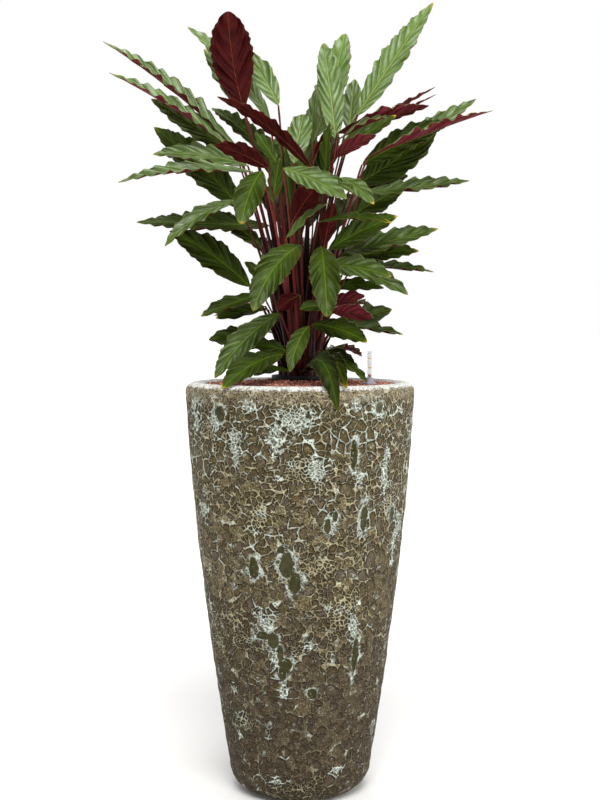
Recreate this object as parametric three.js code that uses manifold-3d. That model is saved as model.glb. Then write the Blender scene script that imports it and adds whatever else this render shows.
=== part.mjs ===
// Potted calathea: a tall glazed stoneware planter filled with lava granules, a nursery pot with the
// plant in it, and a water-level gauge. Millimetres, +Z up, origin at the centre of the base.
import * as THREE from "three";
import { mergeVertices } from "three/addons/utils/BufferGeometryUtils.js";
import Module from "manifold-3d";

// Driving dimensions: planter, as [radius, height] from the foot to the rim
const SIDES = 32;
const FOOT_RADIUS = 75;
const CORNER_RADIUS = 43;
const BODY = [[118.5, 43], [137.5, 160], [163, 360], [180.5, 520], [190.2, 668]];
const RIM = { middle: 174, width: 32.4, start: 668, crest: 683, steps: 5 };
const CAVITY = [[160, 520], [143, 360], [117, 160], [98, 62], [74, 24]];

// Driving dimensions: granules, nursery pot and soil
const GAP = 0.35; // play between pieces that touch
const FILL_EDGE = 677; // granules at the wall
const FILL_HEAP = 684; // granules against the nursery pot
const HEAP_RINGS = [130, 104, 80, 62, 50]; // radii at which the heap's slope is set
const GRAIN_RELIEF = { height: 1.4, margin: 4, across: [7.1, 9.7, 1.3], along: [6.3, 8.9, 1.1] };
const NURSERY = {
  floor: 585, foot: 37, neck: 44.5, lip: 47.5, lipHeight: 9.5, top: 694, wall: 1.6, flare: 0.4, flareDepth: 4,
  sides: 24,
};
const SOIL = { top: 690, dome: 1, shoulder: 8, wallTop: 6, hole: 40 };

// Driving dimensions: water-level gauge
const GAUGE = { x: 113.8, y: -40, radius: 4.5, bore: 3.3, bottom: 240, top: 734.5, sides: 12 };
const COLLAR = { radius: 12.2, neck: 5.6, bottom: 679.8, brim: 2, height: 11.5, spigot: 1.5, sides: 16 };
const FLOAT = { radius: 2.7, length: 42, shoulder: 2, rod: 0.9, ball: 2.7, ballHeight: 692, sides: 8 };

// Driving dimensions: plant
const SHOOTS = 12;
const MOST_LEAVES = 10; // on one shoot
const CROWN_RADIUS = 34;
const CROWN_LEAN = 0.5; // radians off upright at which a leaf stalk comes from the edge of the crown
const STUB = { radius: 7, tip: 7, bottom: 664, top: 707, sides: 6 };
const STALK = { root: 1.7, tip: 1.4, steps: 5, spread: 4.5, start: 704 };
const STALK_BENDS = [[0.12, 0.4], [0.62, 0.75]]; // shares of the way out and of the way up
const BLADE = {
  thickness: 0.9, end: 1.2, halfWave: 22, fewest: 5, most: 11, ripple: 0.19, curl: 1.3, slant: 0.8, fade: 5,
};
const OUTLINE = { widest: 0.43, base: 0.62, tip: 0.82 };

// The leaves that show from the front are read off a front elevation drawn through the axis: mm to the
// right of the axis and mm above the rim, as seen from EYE, which looks down by PITCH radians. Each
// point's third number is its own depth, negative in front of the axis.
const EYE = new THREE.Vector3(0, -2200, 784);
const PITCH = 0.06;
const RIM_ON_DRAWING = 28.3; // above the drawing's centre

// Each row: label, base right, above, depth, tip right, above, depth, arch as a share of the length,
// width, degrees the upper side is rolled up from facing the front, degrees each half is folded up,
// degrees of twist.
const FRONT_LEAVES = [
  ["A", -103, 391, 2, -328, 569, -12, 0.025, 50, 68, 28, 0],
  ["B", -110, 390, -12, -318, 517, -62, 0.02, 44, 68, 28, 0],
  ["A3", -57, 382, 20, -147, 458, 120, 0.04, 40, 40, 15, 0],
  ["C", -100, 375, 30, -248, 473, 25, 0.01, 48, 28, 15, 0],
  ["D", -94, 288, 50, -243, 426, 65, 0.02, 62, 25, 12, 0],
  ["M1", -87, 362, -28, -245, 381, -38, 0.05, 46, 45, 15, 0],
  ["M2", -80, 352, -55, -303, 334, -95, 0.05, 40, 60, 20, 0],
  ["E", -50, 438, 8, -187, 593, 10, 0.05, 44, 45, 15, 0],
  ["E2", -36, 462, -20, -100, 555, -15, 0.05, 42, 20, 12, 0],
  ["F", -90, 445, 20, -160, 556, 45, 0.03, 42, 30, 12, 0],
  ["G", -94, 455, -50, -120, 619, -45, -0.03, 70, 180, 8, 0],
  ["H", 17, 359, -45, -138, 477, -90, 0.06, 32, 130, 15, 0],
  ["I", 60, 405, -10, 40, 566, 20, 0, 44, 15, 12, 0],
  ["J", 25, 408, 25, 75, 582, 60, -0.02, 54, 20, 12, 0],
  ["K", 20, 395, 5, 24, 488, 15, 0, 28, 45, 15, 0],
  ["L", 95, 445, 50, 222, 634, 55, 0.005, 50, 30, 15, 0],
  ["M", 82, 418, 70, 91, 506, 100, 0.02, 40, 20, 12, 0],
  ["N", -10, 365, -35, 6, 447, 15, 0.02, 42, 10, 12, 0],
  ["O2a", -45, 300, -35, -33, 375, -20, 0.02, 26, 20, 12, 0],
  ["P1", -63, 353, -75, -98, 265, -165, 0.08, 46, 5, 10, 0],
  ["S", -53, 358, -60, -143, 397, -110, 0.04, 36, 140, 15, 0],
  ["T1", -28, 358, -70, 78, 307, -150, 0.03, 42, 25, 10, 0],
  ["T1b", 0, 352, -55, 90, 317, -90, 0.05, 26, 40, 12, 0],
  ["U1", 67, 342, -40, 123, 298, -90, 0.05, 30, 20, 10, 0],
  ["O1", 62, 416, -15, 215, 462, -25, 0, 44, 117, 18, 0],
  ["O2", 83, 420, 30, 225, 493, 45, -0.02, 22, 105, 15, 0],
  ["O3", 75, 417, 5, 227, 481, 15, -0.03, 18, 100, 15, 0],
  ["O4", 62, 405, -60, 145, 443, -85, 0.03, 32, 75, 28, 0],
  ["P", 58, 383, -38, 160, 446, -42, 0, 40, 40, 15, 0],
  ["P2", 53, 375, -45, 127, 413, -90, 0.03, 28, 140, 15, 0],
  ["Q", 113, 377, -30, 322, 454, -65, 0.01, 46, 92, 22, 0],
  ["R", 142, 386, 50, 293, 473, 30, -0.03, 42, 45, 15, 0],
  ["V1a", 103, 363, 0, 248, 436, -15, 0.02, 50, 30, 15, 0],
  ["V1b", 93, 330, 30, 228, 424, 15, -0.03, 70, 25, 12, 0],
  ["V1c", 83, 325, 40, 180, 345, 80, 0.04, 46, 30, 12, 0],
  ["W1", 100, 318, -20, 282, 337, -45, -0.015, 44, 58, 18, 0],
  ["X1", 78, 273, -5, 173, 325, 25, 0.02, 48, 25, 12, 0],
  ["Y2", 30, 268, -60, 153, 267, -120, 0.05, 26, 60, 20, 0],
  ["Z1", 47, 222, -30, 162, 278, -50, 0.03, 46, 30, 12, 0],
  ["A1r", 70, 217, -15, 230, 257, -35, -0.005, 46, 45, 15, 0],
  ["B1r", 53, 202, 5, 198, 220, 5, 0.03, 44, 40, 12, 0],
  ["C1r", 75, 192, 25, 223, 185, 45, 0.02, 40, 68, 20, 0],
  ["D1r", 37, 195, -55, 152, 177, -110, 0.05, 42, 30, 12, 0],
  ["E1r", 83, 188, -20, 180, 147, -50, 0.06, 36, 40, 15, 0],
  ["F1r", 42, 160, -5, 140, 158, -10, 0.03, 34, 50, 15, 0],
  ["G1r", 47, 130, 0, 108, 145, -15, 0.03, 30, 140, 15, 0],
  ["H1r", 67, 106, 35, 153, 123, 55, -0.03, 40, 35, 12, 0],
  ["I1r", 53, 118, -30, 122, 108, -70, 0.05, 32, 145, 12, 0],
  ["J1r", 67, 103, 5, 172, 81, 25, -0.02, 36, 68, 20, 0],
  ["K1r", 20, 98, -60, 112, 68, -130, 0.05, 40, 30, 12, 0],
  ["L1r", 30, 52, -55, 92, 18, -110, 0.08, 36, 35, 12, 0],
  ["M1r", 58, 48, -10, 112, 1, -60, 0, 28, 60, 22, 0],
  ["N1r", 33, 38, -60, 77, -9, -184, 0.15, 32, 20, 12, 0],
  ["O1f", 5, 20, -60, 63, -48, -205, 0.28, 40, 10, 12, 0],
  ["P1l", -28, 48, -55, -130, -10, -158, 0.07, 46, 35, 12, 0],
  ["Q1l", -33, 117, -45, -142, 8, -110, 0.06, 46, 25, 12, 0],
  ["R1l", -63, 78, -10, -152, 72, 0, 0.02, 40, 40, 15, 0],
  ["S1l", -63, 148, -25, -165, 111, -50, 0.02, 38, 50, 15, 0],
  ["T1l", -58, 128, -10, -140, 108, -20, 0, 36, 45, 15, 0],
  ["T2l", -53, 122, 20, -143, 112, 40, 0.05, 26, 60, 15, 0],
  ["U1l", -47, 155, 5, -92, 202, 25, 0.04, 30, 40, 12, 0],
  ["V1l", -83, 160, 0, -217, 253, -10, 0.045, 56, 25, 12, 0],
  ["W1l", -107, 305, -45, -225, 228, -95, 0.07, 34, 40, 18, 0],
  ["X1l", -50, 262, 9, -272, 268, -12, 0, 48, 50, 14, 0],
  ["Y1l", -63, 228, 5, -158, 290, 30, 0.02, 34, 30, 12, 0],
  ["Z1l", 2, 230, -60, -78, 120, -165, 0.1, 52, 10, 10, 0],
  ["AA", 35, 228, -65, 45, 110, -170, 0.1, 50, 5, 10, 0],
  ["BB", 15, 95, -70, -17, 18, -130, 0.1, 32, 10, 15, 0],
  ["CC", -23, 242, -75, 48, 300, -110, 0.03, 26, 60, 20, 30],
  ["DD1", -13, 268, -55, 30, 330, -65, 0.03, 44, 170, 10, 0],
  ["DD2", 40, 228, -55, 57, 300, -60, 0.02, 28, 175, 10, 0],
  ["EE", 43, 127, -40, 0, 123, -75, 0.05, 24, 30, 15, 0],
  ["FF", 0, 147, -50, -38, 122, -65, 0.04, 28, 160, 12, 0],
  ["GG", -17, 22, -25, -77, 12, -60, 0.06, 26, 60, 15, 0],
  ["HH", -18, 52, -30, -85, 62, -40, 0.05, 34, 45, 12, 0],
  ["KK", 43, 338, -52, 50, 435, -48, 0.02, 30, 55, 15, 0],
  ["LL", 17, 362, -30, 55, 425, -30, 0.03, 24, 100, 30, 0],
  ["OO", -38, 363, -10, -75, 417, 0, 0.03, 28, 30, 12, 0],
];

// Leaves on the far side, in tiers from the lowest to the highest: count, degrees they spread to
// either side of straight back, stalk radius at the blade, height of the blade's base, blade length,
// rise of the blade in degrees, width.
const BACK_TIERS = [
  { count: 4, spread: 46, out: 60, base: 745, length: 150, rise: -5, width: 42 },
  { count: 4, spread: 40, out: 56, base: 800, length: 165, rise: 12, width: 48 },
  { count: 4, spread: 42, out: 64, base: 862, length: 175, rise: 22, width: 50 },
  { count: 4, spread: 40, out: 66, base: 925, length: 185, rise: 34, width: 54 },
  { count: 4, spread: 38, out: 62, base: 990, length: 180, rise: 50, width: 52 },
];
const BACK_STAGGER = 15; // every second leaf of a tier is higher, the others lower, by this
const BACK_SHIFT = [0.7, 0.3]; // where in its share of the spread a leaf stands, in every second tier
const BACK_LEAF = { arch: 0.07, fold: 14 };
const BACK_JITTER = { turn: 3, climb: 4, out: 8, twist: 15 };
const SEED = 20;

const wasm = await Module();
wasm.setup();

const UP = new THREE.Vector3(0, 0, 1);
const FRONT = new THREE.Vector3(0, -1, 0);
const RAD = Math.PI / 180;

// A repeatable draw between 0 and 1.
function makeRandom(seed) {
  let state = seed;
  return () => {
    state = (state * 16807) % 2147483647;
    return state / 2147483647;
  };
}

// Solid helpers

function solidOf(geometry) {
  const bare = new THREE.BufferGeometry().setAttribute("position", geometry.getAttribute("position"));
  if (geometry.index) bare.setIndex(geometry.index);
  const merged = mergeVertices(bare, 1e-4);
  const faces = [];
  const index = merged.index.array;
  for (let i = 0; i < index.length; i += 3) {
    const [a, b, c] = [index[i], index[i + 1], index[i + 2]];
    if (a !== b && b !== c && c !== a) faces.push(a, b, c);
  }
  return new wasm.Manifold(
    new wasm.Mesh({
      numProp: 3,
      vertProperties: merged.attributes.position.array,
      triVerts: new Uint32Array(faces),
    }),
  );
}

function geometryOf(solid) {
  const { numProp, vertProperties, triVerts } = solid.getMesh();
  const positions = new Float32Array((vertProperties.length / numProp) * 3);
  for (let i = 0; i < positions.length / 3; i++) {
    positions.set(vertProperties.subarray(i * numProp, i * numProp + 3), i * 3);
  }
  return new THREE.BufferGeometry()
    .setAttribute("position", new THREE.BufferAttribute(positions, 3))
    .setIndex(new THREE.BufferAttribute(triVerts, 1));
}

function join(solids) {
  return solids.reduce((all, next) => all.add(next));
}

// A body turned round the vertical axis from [radius, height] points that run anticlockwise.
function turned(profile, sides, x = 0, y = 0) {
  const points = profile.map(([r, z]) => new THREE.Vector2(r, z));
  return new THREE.LatheGeometry(points, sides).rotateX(Math.PI / 2).translate(x, y, 0);
}

// A closed body through rings of points with flat ends; crossed(k) turns the diagonal of side k.
function loft(rings, crossed = () => false) {
  const around = rings[0].length;
  const positions = rings.flat().flatMap((p) => [p.x, p.y, p.z]);
  const faces = [];
  for (let i = 0; i < rings.length - 1; i++) {
    for (let k = 0; k < around; k++) {
      const next = (k + 1) % around;
      const [a, b] = [i * around + k, i * around + next];
      const [d, c] = [a + around, b + around];
      faces.push(...(crossed(k) ? [a, b, d, b, c, d] : [a, b, c, a, c, d]));
    }
  }
  const last = (rings.length - 1) * around;
  for (let k = 1; k < around - 1; k++) {
    faces.push(0, k + 1, k, last, last + k, last + k + 1);
  }
  return new THREE.BufferGeometry()
    .setAttribute("position", new THREE.Float32BufferAttribute(positions, 3))
    .setIndex(faces);
}

// Planter and what fills it

function rimArc() {
  const rise = RIM.crest - RIM.start;
  return Array.from({ length: RIM.steps + 1 }, (_, i) => {
    const angle = (Math.PI * i) / RIM.steps;
    return [RIM.middle + (RIM.width / 2) * Math.cos(angle), RIM.start + rise * Math.sin(angle)];
  });
}

function planterSolid() {
  const corner = [0, 1 / 3, 2 / 3].map((t) => {
    const angle = (t * Math.PI) / 2;
    return [FOOT_RADIUS + CORNER_RADIUS * Math.sin(angle), CORNER_RADIUS * (1 - Math.cos(angle))];
  });
  const outside = BODY.slice(0, -1);
  const floor = CAVITY[CAVITY.length - 1][1];
  return solidOf(
    turned([[0, 0], ...corner, ...outside, ...rimArc(), ...CAVITY, [0, floor]], SIDES),
  );
}

// A wave of granules along a, bent by b; the three numbers are its length, its bend's length and depth.
function grainWave(a, b, [length, bendLength, bend]) {
  return Math.sin(a / length + bend * Math.sin(b / bendLength));
}

function relief(x, y) {
  const { height, across, along } = GRAIN_RELIEF;
  return height * grainWave(x, y, across) * grainWave(y, x, along);
}

function fillSolid() {
  const wall = CAVITY.slice().reverse().map(([r, z]) => [r - GAP, z]);
  wall[0][1] += GAP;
  const edge = RIM.middle - RIM.width / 2 - GAP;
  const innermost = HEAP_RINGS[HEAP_RINGS.length - 1];
  const heap = [edge, ...HEAP_RINGS, NURSERY.neck + GAP].map((r) => {
    const t = (edge - r) / (edge - innermost);
    return [r, FILL_EDGE + (FILL_HEAP - FILL_EDGE) * Math.min(1, t * t)];
  });
  const seat = NURSERY.floor - GAP;
  const profile = [[0, wall[0][1]], ...wall, ...heap, [NURSERY.foot + GAP, seat], [0, seat]];
  const geometry = turned(profile, SIDES);
  const place = geometry.getAttribute("position");
  for (let i = 0; i < place.count; i++) {
    const [x, y, z] = [place.getX(i), place.getY(i), place.getZ(i)];
    const r = Math.hypot(x, y);
    const loose = r > NURSERY.lip + GRAIN_RELIEF.margin && r < edge - 1;
    if (loose && z > FILL_EDGE - 1) place.setZ(i, z + relief(x, y));
  }
  const bore = new THREE.CylinderGeometry(1, 1, GAUGE.top - GAUGE.bottom, GAUGE.sides)
    .rotateX(Math.PI / 2)
    .scale(GAUGE.radius + GAP * 1.1, GAUGE.radius + GAP * 1.1, 1)
    .translate(GAUGE.x, GAUGE.y, (GAUGE.top + GAUGE.bottom) / 2 - GAP);
  return solidOf(geometry).subtract(solidOf(bore));
}

function nurseryPotSolid() {
  const { floor, foot, neck, lip, lipHeight, top, wall, flare, flareDepth, sides } = NURSERY;
  return solidOf(
    turned(
      [
        [0, floor], [foot, floor], [neck, top - lipHeight], [lip, top - lipHeight], [lip, top],
        [neck - wall + flare, top], [neck - wall, top - flareDepth], [foot - wall, floor + wall],
        [0, floor + wall],
      ],
      sides,
    ),
  );
}

function soilSolid(roots) {
  const { floor, foot, neck, top, wall, sides } = NURSERY;
  const bottom = floor + wall + GAP;
  const soil = solidOf(
    turned(
      [[0, bottom], [foot - wall - GAP, bottom], [neck - wall - GAP, top - SOIL.wallTop],
        [neck - wall - GAP, SOIL.top - SOIL.dome], [neck - SOIL.shoulder, SOIL.top],
        [0, SOIL.top + SOIL.dome]],
      sides,
    ),
  );
  const clearance = GAP / Math.cos(Math.PI / STUB.sides);
  const holes = roots.map(({ x, y }) =>
    solidOf(
      new THREE.CylinderGeometry(STUB.radius + clearance, STUB.radius + clearance, SOIL.hole, STUB.sides)
        .rotateX(Math.PI / 2)
        .translate(x, y, STUB.bottom - GAP + SOIL.hole / 2),
    ),
  );
  return holes.reduce((rest, hole) => rest.subtract(hole), soil);
}

// Gauge

function gaugeTubeSolid() {
  const { x, y, radius, bore, bottom, top, sides } = GAUGE;
  return solidOf(
    turned([[bore, bottom], [radius, bottom], [radius, top], [bore, top], [bore, bottom]], sides, x, y),
  );
}

function gaugeCollarSolid() {
  const { radius, neck, bottom, brim, height, spigot, sides } = COLLAR;
  const hole = GAUGE.radius + GAP;
  const top = bottom + height;
  return solidOf(
    turned(
      [[hole, bottom], [radius, bottom], [radius, bottom + brim], [neck, top - spigot], [neck, top],
        [hole, top], [hole, bottom]],
      sides,
      GAUGE.x,
      GAUGE.y,
    ),
  );
}

function gaugeFloatSolid() {
  const { radius, length, shoulder, rod, ball, ballHeight, sides } = FLOAT;
  const bottom = GAUGE.bottom;
  return solidOf(
    turned(
      [[0, bottom], [radius, bottom], [radius, bottom + length], [rod, bottom + length + shoulder],
        [rod, ballHeight - ball], [ball, ballHeight - ball * 0.5], [ball, ballHeight + ball * 0.5],
        [ball * 0.5, ballHeight + ball], [0, ballHeight + ball]],
      sides,
      GAUGE.x,
      GAUGE.y,
    ),
  );
}

// Plant

// The point that the front elevation shows at (right, above), at its own depth.
function fromElevation(right, above, depth) {
  const h = above + RIM_ON_DRAWING;
  const [c, s] = [Math.cos(PITCH), Math.sin(PITCH)];
  const k = (depth - EYE.y) / (h * s - EYE.y * c);
  return new THREE.Vector3(k * right, depth, EYE.z + k * (h * c + EYE.y * s));
}

// Where the shoots stand: a sunflower spiral in the crown.
function shootRoots() {
  return Array.from({ length: SHOOTS }, (_, i) => {
    const r = CROWN_RADIUS * Math.sqrt((i + 0.5) / SHOOTS);
    const turn = i * Math.PI * (3 - Math.sqrt(5));
    return new THREE.Vector3(r * Math.cos(turn), r * Math.sin(turn), STALK.start);
  });
}

class Leaf {
  constructor(base, tip, arch, width, upper, fold, twist) {
    Object.assign(this, { base, tip, arch, width, upper, fold: fold * RAD, twist: twist * RAD });
    const chord = tip.clone().sub(base);
    this.length = chord.length();
    const along = chord.normalize();
    const rise = UP.clone().addScaledVector(along, -along.z).normalize();
    this.crest = base.clone().add(tip).multiplyScalar(0.5).addScaledVector(rise, 2 * arch * this.length);
    const waves = Math.round(this.length / BLADE.halfWave);
    this.stations = Math.min(BLADE.most, Math.max(BLADE.fewest, waves));
  }

  midrib(s) {
    return this.base
      .clone()
      .multiplyScalar((1 - s) ** 2)
      .addScaledVector(this.crest, 2 * s * (1 - s))
      .addScaledVector(this.tip, s * s);
  }

  // The directions along the midrib, out of the upper side, and across.
  frame(s) {
    const along = this.crest.clone().sub(this.base).multiplyScalar(1 - s);
    along.addScaledVector(this.tip.clone().sub(this.crest), s).normalize();
    const upper = this.upper.clone().addScaledVector(along, -this.upper.dot(along)).normalize();
    upper.applyAxisAngle(along, -this.twist * (s - 0.5));
    return { along, upper, across: along.clone().cross(upper) };
  }

  // A point of the blade's middle layer: q runs along the side veins' feet, v from -1 to 1 across.
  point(q, v) {
    const profile = (q / OUTLINE.widest) ** OUTLINE.base * ((1 - q) / (1 - OUTLINE.widest)) ** OUTLINE.tip;
    const half = BLADE.end + (this.width / 2 - BLADE.end) * profile;
    const s = Math.min(1, q + ((BLADE.slant * Math.abs(v) * half) / this.length) * (1 - q));
    const { upper, across } = this.frame(s);
    const fade = Math.min(1, BLADE.fade * q, BLADE.fade * (1 - q));
    const wave = BLADE.ripple * half * fade * Math.cos(Math.PI * this.stations * q) * (v < 0 ? -1 : 1);
    const rise = half * Math.abs(v) * Math.sin(this.fold) * fade + wave * Math.abs(v) ** BLADE.curl;
    return {
      at: this.midrib(s).addScaledVector(across, half * v * Math.cos(this.fold)).addScaledVector(upper, rise),
      upper,
    };
  }

  // The stalk's curve: it rises out of the crown, leans out, and turns into the blade.
  stalk(foot) {
    const way = this.base.clone().sub(foot);
    const [low, high] = STALK_BENDS.map(([out, up]) =>
      foot.clone().add(new THREE.Vector3(way.x * out, way.y * out, way.z * up)),
    );
    return new THREE.CubicBezierCurve3(foot, low, high, this.base);
  }

  // Stalk and blade in one body. A ring is the blade's section, three points on each face; on the
  // stalk they fall together in pairs, which leaves three sides.
  solid(foot) {
    const rings = [];
    const curve = this.stalk(foot);
    for (let i = 0; i <= this.stations; i++) {
      const row = [-1, 0, 1].map((v) => this.point(i / this.stations, v));
      const layer = (side) =>
        row.map(({ at, upper }) => at.clone().addScaledVector(upper, (side * BLADE.thickness) / 2));
      rings.push([...layer(1), ...layer(-1).reverse()]);
    }
    let upper = this.frame(0).upper;
    for (let i = STALK.steps - 1; i >= 0; i--) {
      const t = i / STALK.steps;
      const along = curve.getTangentAt(t);
      upper = upper.clone().addScaledVector(along, -upper.dot(along)).normalize();
      const across = along.clone().cross(upper);
      const radius = STALK.root + (STALK.tip - STALK.root) * t;
      const corners = [2, 0, -2].map((k) => {
        const turn = (k * Math.PI) / 3;
        return curve
          .getPointAt(t)
          .addScaledVector(across, radius * Math.cos(turn))
          .addScaledVector(upper, radius * Math.sin(turn));
      });
      rings.unshift(corners.flatMap((corner) => [corner, corner]));
    }
    return solidOf(loft(rings, (k) => k > 2));
  }
}

// The way the upper side faces on a leaf that runs to the left or right, rolled up from the front.
function rolled(base, tip, face) {
  const along = tip.clone().sub(base).normalize();
  const front = FRONT.clone().addScaledVector(along, along.y).normalize();
  const side = front.clone().cross(along).multiplyScalar(along.x >= 0 ? 1 : -1);
  return front.multiplyScalar(Math.cos(face * RAD)).addScaledVector(side, Math.sin(face * RAD));
}

function frontLeaves() {
  return FRONT_LEAVES.map(([, br, ba, bd, tr, ta, td, arch, width, face, fold, twist]) => {
    const base = fromElevation(br, ba, bd);
    const tip = fromElevation(tr, ta, td);
    return new Leaf(base, tip, arch, width, rolled(base, tip, face), fold, twist);
  });
}

function backLeaves() {
  const random = makeRandom(SEED);
  const jitter = (amount) => amount * (2 * random() - 1);
  return BACK_TIERS.flatMap(({ count, spread, out, base, length, rise, width }, tier) =>
    Array.from({ length: count }, (_, i) => {
      const share = (i + BACK_SHIFT[tier % 2]) / count;
      const turn = (90 + spread * (2 * share - 1) + jitter(BACK_JITTER.turn)) * RAD;
      const climb = (rise + jitter(BACK_JITTER.climb)) * RAD;
      const outward = new THREE.Vector3(Math.cos(turn), Math.sin(turn), 0);
      const height = base + (i % 2 ? 1 : -1) * BACK_STAGGER;
      const start = outward.clone().multiplyScalar(out + jitter(BACK_JITTER.out)).setZ(height);
      const tip = start.clone().addScaledVector(outward, length * Math.cos(climb));
      tip.z += length * Math.sin(climb);
      return new Leaf(start, tip, BACK_LEAF.arch, width, UP, BACK_LEAF.fold, jitter(BACK_JITTER.twist));
    }),
  );
}

// Shares the leaves out: the lower and wider a leaf's base, the nearer its shoot is to the crown's
// edge, and a shoot that is full passes it to the next nearest.
function leavesByShoot(roots, leaves) {
  const shares = roots.map(() => []);
  for (const leaf of leaves) {
    const reach = Math.hypot(leaf.base.x, leaf.base.y);
    const lean = Math.atan2(reach, leaf.base.z - STALK.start);
    const out = CROWN_RADIUS * Math.min(1, lean / CROWN_LEAN);
    const [x, y] = [(leaf.base.x / reach) * out, (leaf.base.y / reach) * out];
    const distance = (i) => Math.hypot(roots[i].x - x, roots[i].y - y);
    const free = roots.map((_, i) => i).filter((i) => shares[i].length < MOST_LEAVES);
    shares[free.reduce((best, i) => (distance(i) < distance(best) ? i : best))].push(leaf);
  }
  return shares;
}

// The feet of a shoot's stalks, side by side round it, in the order of the directions in which the
// leaves leave it.
function footings(root, leaves) {
  const direction = (leaf) => Math.atan2(leaf.base.y - root.y, leaf.base.x - root.x);
  const sorted = leaves.slice().sort((a, b) => direction(a) - direction(b));
  return sorted.map((leaf, i) => {
    const turn = ((2 * i + 1) / sorted.length - 1) * Math.PI;
    const offset = new THREE.Vector3(Math.cos(turn), Math.sin(turn), 0);
    return { leaf, foot: root.clone().addScaledVector(offset, STALK.spread) };
  });
}

function shootSolid(root, leaves) {
  const { radius, tip, bottom, top, sides } = STUB;
  const stub = new THREE.CylinderGeometry(tip, radius, top - bottom, sides)
    .rotateX(Math.PI / 2)
    .translate(root.x, root.y, (top + bottom) / 2);
  return join([solidOf(stub), ...footings(root, leaves).map(({ leaf, foot }) => leaf.solid(foot))]);
}

// Materials

const material = (color, roughness, metalness = 0) =>
  new THREE.MeshStandardMaterial({ color, roughness, metalness });
const MATERIALS = {
  glaze: material(0x8a8368, 0.6),
  lava: material(0xa85b47, 0.95),
  blackPlastic: material(0x17171a, 0.5),
  soil: material(0x2c211a, 1),
  clearPlastic: material(0xd9d9de, 0.2),
  lilacPlastic: material(0x9a98a8, 0.4),
  redPlastic: material(0xb3221c, 0.4),
  foliage: material(0x55713c, 0.45),
};

// Assembly

const plant = new THREE.Group();

function add(name, solid, finish) {
  const mesh = new THREE.Mesh(geometryOf(solid), finish);
  mesh.name = name;
  plant.add(mesh);
}

const roots = shootRoots();
const leaves = [...frontLeaves(), ...backLeaves()];

add("planter", planterSolid(), MATERIALS.glaze);
add("lava_fill", fillSolid(), MATERIALS.lava);
add("nursery_pot", nurseryPotSolid(), MATERIALS.blackPlastic);
add("potting_soil", soilSolid(roots), MATERIALS.soil);
add("gauge_tube", gaugeTubeSolid(), MATERIALS.clearPlastic);
add("gauge_collar", gaugeCollarSolid(), MATERIALS.lilacPlastic);
add("gauge_float", gaugeFloatSolid(), MATERIALS.redPlastic);
leavesByShoot(roots, leaves).forEach((own, i) => {
  add(`shoot_${String(i + 1).padStart(2, "0")}`, shootSolid(roots[i], own), MATERIALS.foliage);
});

export default plant;
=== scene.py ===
"""Potted wavestar velvet calathea: the looks of the plant, its planter, its granules and its water gauge.

Sizes are millimetres everywhere, +Z up, with the origin at the centre of the planter's base. They become
metres only where a mesh or a camera is made.
"""
import itertools
import logging
import math
from dataclasses import dataclass, field
from enum import Enum, IntEnum

import bpy
import numpy as np
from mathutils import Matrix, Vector
from numpy.typing import NDArray


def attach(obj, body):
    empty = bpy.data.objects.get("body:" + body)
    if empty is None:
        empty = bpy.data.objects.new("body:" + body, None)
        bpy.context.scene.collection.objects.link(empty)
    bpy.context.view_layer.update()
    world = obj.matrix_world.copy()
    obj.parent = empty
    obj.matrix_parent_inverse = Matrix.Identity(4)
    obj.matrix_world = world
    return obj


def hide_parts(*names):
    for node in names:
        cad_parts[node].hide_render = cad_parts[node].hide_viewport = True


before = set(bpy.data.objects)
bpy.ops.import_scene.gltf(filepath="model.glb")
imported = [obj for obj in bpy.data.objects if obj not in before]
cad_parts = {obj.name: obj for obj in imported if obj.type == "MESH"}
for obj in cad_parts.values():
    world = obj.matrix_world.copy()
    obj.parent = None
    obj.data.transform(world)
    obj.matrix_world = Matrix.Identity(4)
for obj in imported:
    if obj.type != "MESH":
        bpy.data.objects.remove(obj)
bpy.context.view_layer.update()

Array = NDArray[np.float64]
Whole = NDArray[np.int64]
Colour = tuple[float, float, float, float]
Socket = bpy.types.NodeSocket

MM = 0.001
UP = np.array([0.0, 0.0, 1.0])
TOWARDS_VIEWER = np.array([0.0, -1.0, 0.0])
NO_CORNER = -1

log = logging.getLogger("calathea")


class Body(Enum):
    """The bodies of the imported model."""

    STILL = "pot_and_plant"
    FLOAT = "float"


class Slot(Enum):
    """The material slots."""

    GLAZE = "glaze"
    LAVA = "lava"
    BLACK_PLASTIC = "black_plastic"
    SOIL = "soil"
    CLEAR_PLASTIC = "clear_plastic"
    LILAC_PLASTIC = "lilac_plastic"
    RED_PLASTIC = "red_plastic"
    FOLIAGE = "foliage"


class Skin(IntEnum):
    """Which material of a shoot a face wears."""

    UPPER = 0
    UNDER = 1
    STALK = 2


# The front elevation that the leaves are read off: the eye it is seen from, how far that looks down in
# radians, and how high the rim stands above the drawing's centre.
EYE = np.array([0.0, -2200.0, 784.0])
PITCH = 0.06
RIM_ON_DRAWING = 28.3

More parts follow.
